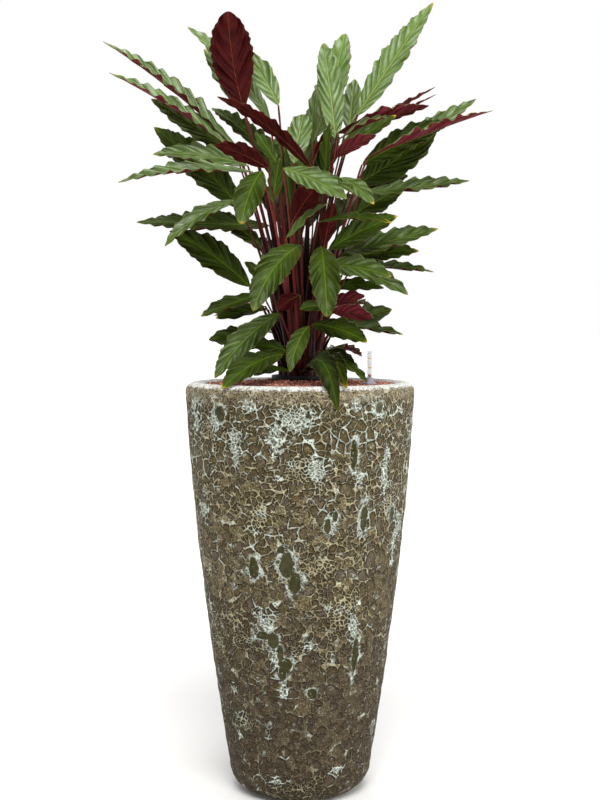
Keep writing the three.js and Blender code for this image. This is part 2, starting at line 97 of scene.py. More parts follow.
# Each row: label, base (right, above, depth), tip (right, above, depth), arch as a share of the length,
# width, degrees the upper side is rolled up from facing the front, degrees each half is folded up,
# degrees of twist.
FRONT_LEAVES = [
    ("A", (-103, 391, 2), (-328, 569, -12), 0.025, 50, 68, 28, 0),
    ("B", (-110, 390, -12), (-318, 517, -62), 0.02, 44, 68, 28, 0),
    ("A3", (-57, 382, 20), (-147, 458, 120), 0.04, 40, 40, 15, 0),
    ("C", (-100, 375, 30), (-248, 473, 25), 0.01, 48, 28, 15, 0),
    ("D", (-94, 288, 50), (-243, 426, 65), 0.02, 62, 25, 12, 0),
    ("M1", (-87, 362, -28), (-245, 381, -38), 0.05, 46, 45, 15, 0),
    ("M2", (-80, 352, -55), (-303, 334, -95), 0.05, 40, 60, 20, 0),
    ("E", (-50, 438, 8), (-187, 593, 10), 0.05, 44, 45, 15, 0),
    ("E2", (-36, 462, -20), (-100, 555, -15), 0.05, 42, 20, 12, 0),
    ("F", (-90, 445, 20), (-160, 556, 45), 0.03, 42, 30, 12, 0),
    ("G", (-94, 455, -50), (-120, 619, -45), -0.03, 70, 180, 8, 0),
    ("H", (17, 359, -45), (-138, 477, -90), 0.06, 32, 130, 15, 0),
    ("I", (60, 405, -10), (40, 566, 20), 0, 44, 15, 12, 0),
    ("J", (25, 408, 25), (75, 582, 60), -0.02, 54, 20, 12, 0),
    ("K", (20, 395, 5), (24, 488, 15), 0, 28, 45, 15, 0),
    ("L", (95, 445, 50), (222, 634, 55), 0.005, 50, 30, 15, 0),
    ("M", (82, 418, 70), (91, 506, 100), 0.02, 40, 20, 12, 0),
    ("N", (-10, 365, -35), (6, 447, 15), 0.02, 42, 10, 12, 0),
    ("O2a", (-45, 300, -35), (-33, 375, -20), 0.02, 26, 20, 12, 0),
    ("P1", (-63, 353, -75), (-98, 265, -165), 0.08, 46, 5, 10, 0),
    ("S", (-53, 358, -60), (-143, 397, -110), 0.04, 36, 140, 15, 0),
    ("T1", (-28, 358, -70), (78, 307, -150), 0.03, 42, 25, 10, 0),
    ("T1b", (0, 352, -55), (90, 317, -90), 0.05, 26, 40, 12, 0),
    ("U1", (67, 342, -40), (123, 298, -90), 0.05, 30, 20, 10, 0),
    ("O1", (62, 416, -15), (215, 462, -25), 0, 44, 117, 18, 0),
    ("O2", (83, 420, 30), (225, 493, 45), -0.02, 22, 105, 15, 0),
    ("O3", (75, 417, 5), (227, 481, 15), -0.03, 18, 100, 15, 0),
    ("O4", (62, 405, -60), (145, 443, -85), 0.03, 32, 75, 28, 0),
    ("P", (58, 383, -38), (160, 446, -42), 0, 40, 40, 15, 0),
    ("P2", (53, 375, -45), (127, 413, -90), 0.03, 28, 140, 15, 0),
    ("Q", (113, 377, -30), (322, 454, -65), 0.01, 46, 92, 22, 0),
    ("R", (142, 386, 50), (293, 473, 30), -0.03, 42, 45, 15, 0),
    ("V1a", (103, 363, 0), (248, 436, -15), 0.02, 50, 30, 15, 0),
    ("V1b", (93, 330, 30), (228, 424, 15), -0.03, 70, 25, 12, 0),
    ("V1c", (83, 325, 40), (180, 345, 80), 0.04, 46, 30, 12, 0),
    ("W1", (100, 318, -20), (282, 337, -45), -0.015, 44, 58, 18, 0),
    ("X1", (78, 273, -5), (173, 325, 25), 0.02, 48, 25, 12, 0),
    ("Y2", (30, 268, -60), (153, 267, -120), 0.05, 26, 60, 20, 0),
    ("Z1", (47, 222, -30), (162, 278, -50), 0.03, 46, 30, 12, 0),
    ("A1r", (70, 217, -15), (230, 257, -35), -0.005, 46, 45, 15, 0),
    ("B1r", (53, 202, 5), (198, 220, 5), 0.03, 44, 40, 12, 0),
    ("C1r", (75, 192, 25), (223, 185, 45), 0.02, 40, 68, 20, 0),
    ("D1r", (37, 195, -55), (152, 177, -110), 0.05, 42, 30, 12, 0),
    ("E1r", (83, 188, -20), (180, 147, -50), 0.06, 36, 40, 15, 0),
    ("F1r", (42, 160, -5), (140, 158, -10), 0.03, 34, 50, 15, 0),
    ("G1r", (47, 130, 0), (108, 145, -15), 0.03, 30, 140, 15, 0),
    ("H1r", (67, 106, 35), (153, 123, 55), -0.03, 40, 35, 12, 0),
    ("I1r", (53, 118, -30), (122, 108, -70), 0.05, 32, 145, 12, 0),
    ("J1r", (67, 103, 5), (172, 81, 25), -0.02, 36, 68, 20, 0),
    ("K1r", (20, 98, -60), (112, 68, -130), 0.05, 40, 30, 12, 0),
    ("L1r", (30, 52, -55), (92, 18, -110), 0.08, 36, 35, 12, 0),
    ("M1r", (58, 48, -10), (112, 1, -60), 0, 28, 60, 22, 0),
    ("N1r", (33, 38, -60), (77, -9, -184), 0.15, 32, 20, 12, 0),
    ("O1f", (5, 20, -60), (63, -48, -205), 0.28, 40, 10, 12, 0),
    ("P1l", (-28, 48, -55), (-130, -10, -158), 0.07, 46, 35, 12, 0),
    ("Q1l", (-33, 117, -45), (-142, 8, -110), 0.06, 46, 25, 12, 0),
    ("R1l", (-63, 78, -10), (-152, 72, 0), 0.02, 40, 40, 15, 0),
    ("S1l", (-63, 148, -25), (-165, 111, -50), 0.02, 38, 50, 15, 0),
    ("T1l", (-58, 128, -10), (-140, 108, -20), 0, 36, 45, 15, 0),
    ("T2l", (-53, 122, 20), (-143, 112, 40), 0.05, 26, 60, 15, 0),
    ("U1l", (-47, 155, 5), (-92, 202, 25), 0.04, 30, 40, 12, 0),
    ("V1l", (-83, 160, 0), (-217, 253, -10), 0.045, 56, 25, 12, 0),
    ("W1l", (-107, 305, -45), (-225, 228, -95), 0.07, 34, 40, 18, 0),
    ("X1l", (-50, 262, 9), (-272, 268, -12), 0, 48, 50, 14, 0),
    ("Y1l", (-63, 228, 5), (-158, 290, 30), 0.02, 34, 30, 12, 0),
    ("Z1l", (2, 230, -60), (-78, 120, -165), 0.1, 52, 10, 10, 0),
    ("AA", (35, 228, -65), (45, 110, -170), 0.1, 50, 5, 10, 0),
    ("BB", (15, 95, -70), (-17, 18, -130), 0.1, 32, 10, 15, 0),
    ("CC", (-23, 242, -75), (48, 300, -110), 0.03, 26, 60, 20, 30),
    ("DD1", (-13, 268, -55), (30, 330, -65), 0.03, 44, 170, 10, 0),
    ("DD2", (40, 228, -55), (57, 300, -60), 0.02, 28, 175, 10, 0),
    ("EE", (43, 127, -40), (0, 123, -75), 0.05, 24, 30, 15, 0),
    ("FF", (0, 147, -50), (-38, 122, -65), 0.04, 28, 160, 12, 0),
    ("GG", (-17, 22, -25), (-77, 12, -60), 0.06, 26, 60, 15, 0),
    ("HH", (-18, 52, -30), (-85, 62, -40), 0.05, 34, 45, 12, 0),
    ("KK", (43, 338, -52), (50, 435, -48), 0.02, 30, 55, 15, 0),
    ("LL", (17, 362, -30), (55, 425, -30), 0.03, 24, 100, 30, 0),
    ("OO", (-38, 363, -10), (-75, 417, 0), 0.03, 28, 30, 12, 0),
]

# Leaves on the far side, in tiers from the lowest: count, degrees of spread to either side of straight
# back, stalk radius at the blade, height of the blade's base, length, rise in degrees, width.
BACK_TIERS = [
    (4, 46, 60, 745, 150, -5, 42),
    (4, 40, 56, 800, 165, 12, 48),
    (4, 42, 64, 862, 175, 22, 50),
    (4, 40, 66, 925, 185, 34, 54),
    (4, 38, 62, 990, 180, 50, 52),
]
BACK_STAGGER = 15
BACK_SHIFT = (0.7, 0.3)
BACK_ARCH, BACK_FOLD = 0.07, 14
BACK_JITTER = {"turn": 3, "climb": 4, "out": 8, "twist": 15}
BACK_SEED = 20

# How pale a leaf's upper side is, from about -1 for the darkest to 1 for the palest, and how far a leaf's
# tip has yellowed, from 0 to 1. The paleness is partly the leaf's own colour and partly painted light: the
# high leaves that face the light are paler and the low ones in the shade darker, and it also sets the
# painted sheen on the upper side and the painted light on the underside.
TONES = {
    "O1": 0.6, "O2": 0.7, "O3": 0.8, "P2": 0.6, "Q": 0.7, "G": -0.1, "H": -0.15, "S": 0.0,
    "L": 1.0, "I": 0.66, "J": 1.3, "K": 0.3, "E": 0.8, "E2": 0.6, "F": 0.5, "M": 0.8, "A": 0.55, "B": 0.6,
    "T1": 0.45, "T1b": 0.0, "P1": -0.12, "U1": 0.3, "N": 0.6, "C": 0.1, "M1": 0.25, "M2": 0.3, "D": -0.2,
    "W1l": 0.25, "X1l": -0.2, "V1l": -0.6, "Z1l": -0.1, "AA": -0.2, "Q1l": 0.05, "P1l": -0.25, "R1l": -0.2,
    "V1a": -0.15, "V1b": -0.15, "W1": 0.02, "X1": -0.2, "Z1": -0.2, "A1r": 0.05, "B1r": -0.4, "C1r": -0.2,
    "D1r": 0.1, "E1r": 0.05, "K1r": -0.7, "L1r": -0.9, "O1f": -1.0, "N1r": -1.1, "R": 0.5, "G1r": 0.8,
    "I1r": 0.9, "O4": 0.2, "P": -0.1, "BB": -0.1, "CC": 0.1, "J1r": -0.1, "H1r": 0.0,
}
RIPE_TIPS = {
    "U1": 1.0, "Y2": 0.9, "Z1": 0.7, "A1r": 0.5, "B1r": 0.6, "C1r": 0.4, "CC": 0.8, "P": 0.8, "N1r": 0.4,
    "T2l": 0.6, "M1": 0.4, "S": 0.6, "E2": 0.3, "F": 0.5, "C": 0.3, "D": 0.2, "P1": 0.4, "P1l": 0.5,
    "D1r": 0.3, "K1r": 0.4, "H1r": 0.3, "E1r": 0.3, "J1r": 0.5, "L": 0.6, "A": 0.3, "B": 0.4, "T1l": 0.7,
    "S1l": 0.3,
}

# Leaves with blunter ends than the rest: the widest place, and the powers of the base and the tip.
BLUNT_LEAVES = {
    "G": (0.5, 0.62, 0.6), "J": (0.42, 0.5, 0.6), "I": (0.42, 0.5, 0.6), "N": (0.5, 0.5, 0.5),
    "Z1l": (0.45, 0.5, 0.7), "AA": (0.5, 0.5, 0.62), "P1": (0.5, 0.55, 0.6), "L": (0.36, 0.5, 0.8),
}


# Small mathematics


def unit(vectors: Array) -> Array:
    """Vectors along the last axis divided by their own length."""
    return vectors / np.linalg.norm(vectors, axis=-1, keepdims=True)


def dot(first: Array, second: Array) -> Array:
    """Scalar products along the last axis, which is kept with length 1."""
    return np.sum(first * second, axis=-1, keepdims=True)


def smooth_step(low: float, high: float, value: Array) -> Array:
    """3t^2 - 2t^3 for t = (value - low) / (high - low), held between 0 and 1."""
    t = np.clip((value - low) / (high - low), 0, 1)
    return t * t * (3 - 2 * t)


def turned_about(vectors: Array, axes: Array, angles: Array) -> Array:
    """Vectors turned about unit axes: v cos a + (k x v) sin a + k (k.v)(1 - cos a)."""
    cos, sin = np.cos(angles)[..., None], np.sin(angles)[..., None]
    return vectors * cos + np.cross(axes, vectors) * sin + axes * dot(axes, vectors) * (1 - cos)


def lattice_noise(points: Array, size: float, seed: int) -> Array:
    """Smooth noise from -1 to 1 at points.

    Each corner of a cubic lattice has a value drawn from its own whole-number coordinates, and the eight
    round a point are blended by 3t^2 - 2t^3 along each axis.

    Args:
        points: Places, shape (n, 3).
        size: Side of the lattice's cubes.
        seed: Picks another field of the same kind.

    Returns:
        One value for each point.
    """
    scaled = points / size
    cell = np.floor(scaled).astype(np.int64)
    t = scaled - cell
    t = t * t * (3 - 2 * t)
    total = np.zeros(len(points))
    for corner in itertools.product((0, 1), repeat=3):
        key = (cell + corner) @ np.array([73856093, 19349663, 83492791]) + seed * 26699
        key = (key ^ (key >> 13)) & 0x7FFFFFFF
        key = (key * 1274126177) & 0x7FFFFFFF
        key = (key ^ (key >> 16)) & 0xFFFF
        total += key / 0xFFFF * np.prod(np.where(corner, t, 1 - t), axis=-1)
    return 2 * total - 1


class Draw:
    """A repeatable draw between 0 and 1: the state is multiplied by 16807, modulo 2147483647."""

    def __init__(self, seed: int) -> None:
        """Starts from a seed above 0."""
        self.state = seed

    def share(self) -> float:
        """The next number from 0 to 1."""
        self.state = self.state * 16807 % 2147483647
        return self.state / 2147483647

    def jitter(self, amount: float) -> float:
        """The next number from -amount to amount."""
        return amount * (2 * self.share() - 1)


# Meshes


def grid_faces(rows: int, columns: int, wrap: bool = False) -> Whole:
    """The four corners of each cell of a grid of points, row by row.

    Args:
        rows: Number of rows of points.
        columns: Number of points in a row.
        wrap: Whether the last point of a row is joined to its first.

    Returns:
        Corners, shape (cells, 4), which turn from the row's direction to the next row.
    """
    i = np.arange(rows - 1)[:, None] * columns
    j = np.arange(columns if wrap else columns - 1)[None, :]
    k = (j + 1) % columns
    return np.stack([i + j, i + k, i + columns + k, i + columns + j], axis=-1).reshape(-1, 4)


def fan_faces(count: int, centre: int, first: int, flip: bool = False) -> Whole:
    """Triangles from a centre point to each side of a closed ring of points.

    Args:
        count: Number of points on the ring.
        centre: Index of the centre point.
        first: Index of the ring's first point.
        flip: Whether the triangles face the other way.

    Returns:
        Corners, shape (count, 4), the fourth being none.
    """
    j = np.arange(count)
    near, far = first + j, first + (j + 1) % count
    sides = (far, near) if flip else (near, far)
    return np.stack([np.full(count, centre), *sides, np.full(count, NO_CORNER)], axis=-1)


def placed(name: str, data: bpy.types.ID) -> bpy.types.Object:
    """Puts something into the scene.

    Args:
        name: Name of the new object.
        data: Its mesh, lamp or camera.

    Returns:
        The object, at the origin.
    """
    made = bpy.data.objects.new(name, data)
    bpy.context.scene.collection.objects.link(made)
    return made


@dataclass
class Surface:
    """A mesh in the making.

    Attributes:
        points: Places in mm, shape (n, 3).
        faces: Corner indices, shape (m, 4), with NO_CORNER as a triangle's fourth.
        skins: Material number of each face.
        marks: Named vectors that the materials read, one for each point, shape (n, 3).
    """

    points: Array
    faces: Whole
    skins: Whole = field(default_factory=lambda: np.zeros(0, np.int64))
    marks: dict[str, Array] = field(default_factory=dict)

    def __post_init__(self) -> None:
        """Gives every face the first material where none is named."""
        if not len(self.skins):
            self.skins = np.zeros(len(self.faces), np.int64)

    @staticmethod
    def joined(parts: list["Surface"]) -> "Surface":
        """Puts several surfaces into one.

        Args:
            parts: The surfaces, which carry the same marks.

        Returns:
            One surface with all their points and faces, in their order.
        """
        starts = np.cumsum([0] + [len(part.points) for part in parts[:-1]])
        faces = [np.where(p.faces >= 0, p.faces + s, NO_CORNER) for p, s in zip(parts, starts)]
        marks = {name: np.concatenate([p.marks[name] for p in parts]) for name in parts[0].marks}
        return Surface(
            np.concatenate([p.points for p in parts]),
            np.concatenate(faces),
            np.concatenate([p.skins for p in parts]),
            marks,
        )

    def mesh(self, name: str, smooth: bool = True) -> bpy.types.Mesh:
        """Makes the Blender mesh.

        Args:
            name: Name of the mesh.
            smooth: Whether its faces are shaded as one smooth skin.

        Returns:
            The mesh, in metres, with the marks as attributes of its points.
        """
        shown = self.faces >= 0
        totals = shown.sum(axis=1)
        corners = self.faces[shown]
        mesh = bpy.data.meshes.new(name)
        mesh.vertices.add(len(self.points))
        mesh.vertices.foreach_set("co", (self.points * MM).astype(np.float32).ravel())
        mesh.loops.add(len(corners))
        mesh.loops.foreach_set("vertex_index", corners.astype(np.int32))
        mesh.polygons.add(len(self.faces))
        mesh.polygons.foreach_set("loop_start", (np.cumsum(totals) - totals).astype(np.int32))
        mesh.polygons.foreach_set("material_index", self.skins.astype(np.int32))
        mesh.polygons.foreach_set("use_smooth", np.full(len(self.faces), smooth))
        for mark, values in self.marks.items():
            layer = mesh.attributes.new(mark, "FLOAT_VECTOR", "POINT")
            layer.data.foreach_set("vector", values.astype(np.float32).ravel())
        mesh.update(calc_edges=True)
        mesh.validate()
        return mesh

    def piece(
        self,
        name: str,
        body: Body,
        slot: Slot,
        materials: list[bpy.types.Material],
        stands_for: tuple[str, ...] = (),
    ) -> None:
        """Makes the Blender object, at the origin, hangs it on its body and hides the CAD nodes that it
        replaces.

        Args:
            name: Name of the piece.
            body: Body that it rides on.
            slot: Material slot that its finish comes from; not used.
            materials: One material for each skin.
            stands_for: CAD nodes that it replaces.
        """
        mesh = self.mesh(name)
        for material in materials:
            mesh.materials.append(material)
        made = placed(name, mesh)
        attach(made, body.value)
        if stands_for:
            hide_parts(*stands_for)
        log.info("%s: %d points, %d faces", name, len(self.points), len(self.faces))


def turned_profile(profile: Array, columns: int, centre: tuple[float, float] = (0.0, 0.0)) -> Surface:
    """A closed body turned round a vertical axis: (x, y, z) = (r sin a, -r cos a, z).

    Args:
        profile: Radius and height, shape (n, 2), from the axis below, up the outside, to the axis above.
        columns: Number of steps round the axis.
        centre: Where the axis stands.

    Returns:
        The surface, with a point on the axis at each end and its faces outwards.
    """
    angle = np.linspace(0, 2 * math.pi, columns, endpoint=False)
    rings = profile[1:-1]
    r, z = rings[:, 0][:, None], rings[:, 1][:, None]
    wall = np.stack([r * np.sin(angle), -r * np.cos(angle), z + 0 * angle], axis=-1).reshape(-1, 3)
    ends = np.array([[0, 0, profile[0, 1]], [0, 0, profile[-1, 1]]])
    points = np.concatenate([wall, ends]) + np.array([*centre, 0.0])
    faces = np.concatenate([
        grid_faces(len(rings), columns, wrap=True),
        fan_faces(columns, len(wall), 0, flip=True),
        fan_faces(columns, len(wall) + 1, len(wall) - columns),
    ])
    return Surface(points, faces)


def turned_ring(profile: Array, columns: int, centre: tuple[float, float] = (0.0, 0.0)) -> Surface:
    """A ring turned round a vertical axis: (x, y, z) = (r sin a, -r cos a, z).

    Args:
        profile: Radius and height of its section, shape (n, 2), closed and anticlockwise.
        columns: Number of steps round the axis.
        centre: Where the axis stands.

    Returns:
        The surface, with its faces outwards.
    """
    angle = np.linspace(0, 2 * math.pi, columns, endpoint=False)
    r, z = profile[:, 0][:, None], profile[:, 1][:, None]
    points = np.stack([r * np.sin(angle), -r * np.cos(angle), z + 0 * angle], axis=-1).reshape(-1, 3)
    faces = grid_faces(len(profile) + 1, columns, wrap=True) % len(points)
    return Surface(points + np.array([*centre, 0.0]), faces)


def rounded(profile: list[tuple[float, float]], spacing: float, passes: int = 3) -> Array:
    """A profile with its corners cut by Chaikin's rule, then set out at an even spacing.

    Args:
        profile: Radius and height of the corners.
        spacing: Distance between the points that come back.
        passes: How often each corner is cut at a quarter of its two sides.

    Returns:
        Points, shape (n, 2), with the first and last corner kept.
    """
    line = np.array(profile, float)
    for _ in range(passes):
        near = 0.75 * line[:-1] + 0.25 * line[1:]
        far = 0.25 * line[:-1] + 0.75 * line[1:]
        line = np.concatenate([line[:1], np.stack([near, far], axis=1).reshape(-1, 2), line[-1:]])
    run = np.concatenate([[0], np.cumsum(np.linalg.norm(np.diff(line, axis=0), axis=1))])
    even = np.linspace(0, run[-1], max(2, round(run[-1] / spacing) + 1))
    return np.stack([np.interp(even, run, line[:, k]) for k in (0, 1)], axis=-1)


# Materials


def linear(code: str) -> Colour:
    """A colour such as "#a0b0c0" as linear red, green, blue and a full alpha."""
    shares = (int(code[i : i + 2], 16) / 255 for i in (1, 3, 5))
    return (*(s / 12.92 if s <= 0.04045 else ((s + 0.055) / 1.055) ** 2.4 for s in shares), 1.0)


class Nodes:
    """A node tree under construction."""

    def __init__(self, tree: bpy.types.NodeTree) -> None:
        """Takes the tree that the nodes go into."""
        self.tree = tree

    def fill(self, socket: Socket, value: object) -> None:
        """Gives an input what it takes.

        Args:
            socket: The input.
            value: A socket to link, a number, a vector, a colour's hex code, or None to leave it alone.
        """
        if isinstance(value, bpy.types.NodeSocket):
            self.tree.links.new(value, socket)
        elif value is not None:
            socket.default_value = linear(value) if isinstance(value, str) else value

    def add(self, kind: str, *inputs: object, output: str = "", **settings: object) -> Socket:
        """Adds a node, with its settings and links.

        Args:
            kind: Name of the node's type after "ShaderNode".
            inputs: What the shown inputs take in order, as fill takes it.
            output: Name of the output to give back, or "" for the first.
            settings: Properties of the node.

        Returns:
            The chosen output.
        """
        made = self.tree.nodes.new("ShaderNode" + kind)
        for name, value in settings.items():
            setattr(made, name, value)
        shown = [socket for socket in made.inputs if socket.enabled]
        for socket, value in zip(shown, inputs):
            self.fill(socket, value)
        outputs = [socket for socket in made.outputs if socket.enabled]
        return next((socket for socket in outputs if socket.name == output), outputs[0])


class Finish(Nodes):
    """A material under construction, with one Principled surface."""

    def __init__(self, name: str) -> None:
        """Starts a material.

        Args:
            name: What it is.
        """
        self.made = bpy.data.materials.new(name)
        self.made.use_nodes = True
        super().__init__(self.made.node_tree)

    def wear(self, **inputs: object) -> bpy.types.Material:
        """Fills the Principled surface's inputs.

        Args:
            inputs: What each takes, as fill takes it, with underscores for the spaces in its name.

        Returns:
            The material.
        """
        surface = next(node for node in self.tree.nodes if node.type == "BSDF_PRINCIPLED")
        for name, value in inputs.items():
            self.fill(surface.inputs[name.replace("_", " ")], value)
        return self.made

    def place_mm(self) -> Socket:
        """The point's own place on the object, in mm."""
        return self.add("VectorMath", self.add("TexCoord", output="Object"), 1 / MM, operation="SCALE")

    def mark(self, name: str) -> tuple[Socket, ...]:
        """The three numbers that a named mark of the mesh holds at the point."""
        mark = self.add("Attribute", attribute_name=name, output="Vector")
        return tuple(self.add("SeparateXYZ", mark).node.outputs)

    def centred(self, value: Socket, gain: object, onto: object = 0.0, middle: float = 0.5) -> Socket:
        """gain (value - middle) + onto."""
        offset = self.add("Math", value, -middle, operation="ADD")
        return self.add("Math", offset, gain, onto, operation="MULTIPLY_ADD")

    def waves(self, place: Socket, gap: float) -> Socket:
        """Even swellings from 0 to 1, one gap apart: (1 + sin(2 pi place / gap)) / 2."""
        turn = self.add("Math", place, 2 * math.pi / gap, operation="MULTIPLY")
        return self.add("Math", self.add("Math", turn, operation="SINE"), 0.5, 0.5, operation="MULTIPLY_ADD")


@dataclass(frozen=True)
class ReactiveGlaze:
    """Volcanic reactive glaze on stoneware.

    The glaze boils in the kiln: smooth brown craters stay open in a grainy olive crust, with a raised net
    round them that runs from beige to mint. It foams up white-green in patches, and melts to a few smooth
    olive pools. The rim is washed pale.
    """

    crust: str = "#4c422c"
    crust_light: str = "#8d805c"
    crust_low: str = "#463b2e"
    disc: str = "#51452a"
    disc_grey: str = "#5c5249"
    # Colour of the painted shade inside the net and in the pits
    shade: str = "#130e06"
    net: str = "#c6bc96"
    net_low: str = "#9f9267"
    mint: str = "#dce9dd"
    rim: str = "#e9ebe6"
    bisque: str = "#bcae90"
    pool: str = "#2e2f0c"
    wide_crater: float = 19.0
    crater_width: float = 11.0
    foam_width: float = 6.2
    bubble_width: float = 3.3

    def material(self) -> bpy.types.Material:
        """Builds the glaze.

        The wall is unrolled into two flat charts, one for the front and one for the back, which meet on a
        ragged line at the sides. A crater is where both the distance d to its polygon's edge and the room
        left to a circle round its middle are above 0, which rounds its corners. The net is
        1 - smoothstep(0, ridge, d), a painted shade lies just inside it in the open craters, and the
        crater's floor sinks by smoothstep(0, 4.6 mm, d). The low pits of the grain are painted dark as shade
        too. Some craters have closed again. Craters of three widths take turns, as a
        slow noise and the foam marks say.

        Returns:
            The material.
        """
        f = Finish("reactive_glazed_stoneware")
        place = f.place_mm()
        height = f.add("SeparateXYZ", place, output="Z")
        foam, pool, _ = f.mark("glaze_marks")

        def elsewhere(size: float, detail: float, offset: float) -> Socket:
            """Noise with features of a size in mm, read at place + offset (1, 2, 3)."""
            moved = f.add("VectorMath", place, (offset, 2 * offset, 3 * offset), operation="ADD")
            return f.add("TexNoise", moved, 1 / size, detail, 0.55)

        def shift(size: float, amount: float) -> Socket:
            """A vector that wanders: amount (noise - 0.5).

            Args:
                size: Size of the noise's features, in mm.
                amount: How far it wanders, in mm.

            Returns:
                The vector.
            """
            wander = f.add("TexNoise", place, 1 / size, 1.0, 0.55, output="Color")
            wander = f.add("VectorMath", wander, (0.5, 0.5, 0.5), operation="SUBTRACT")
            return f.add("VectorMath", wander, amount, operation="SCALE")

        grain = f.add("TexNoise", place, 1 / 2.0, 3.0, 0.55)
        grit = f.add("TexNoise", place, 1 / 3.8, 3.0, 0.55)
        blotch = elsewhere(15.0, 3.0, 50.0)
        slow, slower = elsewhere(34.0, 3.0, 90.0), elsewhere(85.0, 2.0, 170.0)
        front, back, up_wall = f.mark("glaze_charts")
        depth = f.add("SeparateXYZ", place, output="Y")
        behind = f.add("MapRange", f.centred(elsewhere(22.0, 3.0, 20.0), 60.0, depth), -0.1, 0.1)
        flat_place = f.add("CombineXYZ", f.add("Mix", behind, front, back), up_wall, 0.0)
        bent = f.add("VectorMath", flat_place, shift(40.0, 22.0), operation="ADD")
        bent = f.add("VectorMath", bent, shift(7.0, 4.0), operation="ADD")

        def craters(width: float) -> tuple[Socket, Socket]:
            """Distance in mm to the edge of rounded craters of one width, and a colour drawn for each.

            Args:
                width: Usual width of a crater.

            Returns:
                The distance, above 0 inside a crater, and the colour.
            """
            edge = f.add("TexVoronoi", bent, 1 / width, feature="DISTANCE_TO_EDGE", voronoi_dimensions="2D")
            edge = f.add("Math", edge, width, operation="MULTIPLY")
            middle = f.add("TexVoronoi", bent, 1 / width, feature="F1", voronoi_dimensions="2D")
            room = f.add("Math", middle, -width, 0.76 * width, operation="MULTIPLY_ADD")
            inwards = f.add("Math", edge, room, 0.16 * width, operation="SMOOTH_MIN")
            return inwards, middle.node.outputs["Color"]

        wide, wide_draw = craters(self.wide_crater)
        usual, usual_draw = craters(self.crater_width)
        froth, _ = craters(self.foam_width)
        bubble = f.add("TexVoronoi", bent, 1 / self.bubble_width, feature="F1", voronoi_dimensions="2D")

        # Which width of crater lies where, and whether it is still open
        upper = f.add("MapRange", height, 380.0, 600.0)
        flames = f.add("Math", foam, 1.25, operation="MULTIPLY")
        flames = f.centred(blotch, 1.6, f.centred(slow, 2.2, flames))
        flames = f.add("Math", upper, 0.34, flames, operation="MULTIPLY_ADD")
        minty = f.add("MapRange", flames, 0.14, 0.55)
        where_wide = f.add("MapRange", f.centred(blotch, 0.8, slow), 0.49, 0.53)
        foaming, small_belt = f.add("MapRange", flames, 0.92, 0.98), f.add("MapRange", slower, 0.57, 0.60)
        where_froth = f.add("Math", foaming, small_belt, operation="MAXIMUM", use_clamp=True)
        distance = f.add("Mix", where_froth, f.add("Mix", where_wide, usual, wide), froth)
        distance = f.centred(grit, 1.6, distance)
        draw = f.add("Mix", where_wide, usual_draw, wide_draw, data_type="RGBA")
        odds, greyness, _ = f.add("SeparateXYZ", draw).node.outputs
        opened = f.centred(slower, 1.6, f.centred(blotch, 0.8, odds))
        opened = f.add("MapRange", f.add("Math", upper, 0.3, opened, operation="MULTIPLY_ADD"), 0.2, 0.31)
        open_crater = f.add("Math", opened, where_froth, operation="MAXIMUM", use_clamp=True)

        # The net: how clearly it shows, how thick it is, and the painted shade beside it
        shown = f.add("MapRange", height, 150.0, 430.0, 0.26, 0.9)
        shown = f.centred(blotch, 1.4, f.centred(slower, 2.0, shown))
        shown = f.add("MapRange", shown, 0.1, 0.9, 0.08, 0.9)
        at_open = f.add("MapRange", open_crater, 0.0, 1.0, 0.35, 1.0)
        shown = f.add("Math", shown, at_open, operation="MULTIPLY", use_clamp=True)
        shown = f.add("Math", shown, minty, operation="MAXIMUM", use_clamp=True)
        below_rim = f.add("MapRange", f.centred(blotch, 16.0, height), 676.0, 658.0, 0.3, 1.0)
        shown = f.add("Math", shown, below_rim, operation="MULTIPLY", use_clamp=True)
        ridge = f.add("Math", shown, 0.8, 0.4, operation="MULTIPLY_ADD")
        uneven = f.add("MapRange", elsewhere(11.0, 2.0, 30.0), 0.36, 0.66, 0.5, 1.8)
        ridge = f.add("Math", ridge, uneven, operation="MULTIPLY")
        swollen = f.add("MapRange", flames, 0.64, 1.05, 0.0, 1.9)
        ridge = f.add("Math", ridge, swollen, operation="ADD")
        net = f.add("MapRange", distance, ridge, 0.0, 0.0, 1.0, interpolation_type="SMOOTHSTEP")
        thick = f.add("Math", ridge, distance, operation="SUBTRACT")
        whole, thin = f.add("MapRange", bubble, 0.24, 0.36), f.add("MapRange", thick, 2.4, 1.5)
        whole = f.add("Math", whole, thin, operation="MAXIMUM", use_clamp=True)
        net = f.add("Math", net, whole, operation="MULTIPLY", use_clamp=True)
        lit_net = f.add("Math", net, shown, operation="MULTIPLY", use_clamp=True)
        # Painted shade: a dark ring just inside the net, where the ridge would shade the crater's floor
        inside = f.add("Math", distance, ridge, operation="SUBTRACT")
        shade = f.add("MapRange", inside, 2.2, 0.3, 0.0, 0.8, interpolation_type="SMOOTHSTEP")
        deep = f.add("MapRange", shown, 0.0, 0.6, 0.4, 1.0)
        deep = f.add("Math", open_crater, deep, operation="MULTIPLY", use_clamp=True)
        shade = f.add("Math", shade, deep, operation="MULTIPLY", use_clamp=True)
        off_net = f.add("Math", 1.0, net, operation="SUBTRACT")
        shade = f.add("Math", shade, off_net, operation="MULTIPLY", use_clamp=True)
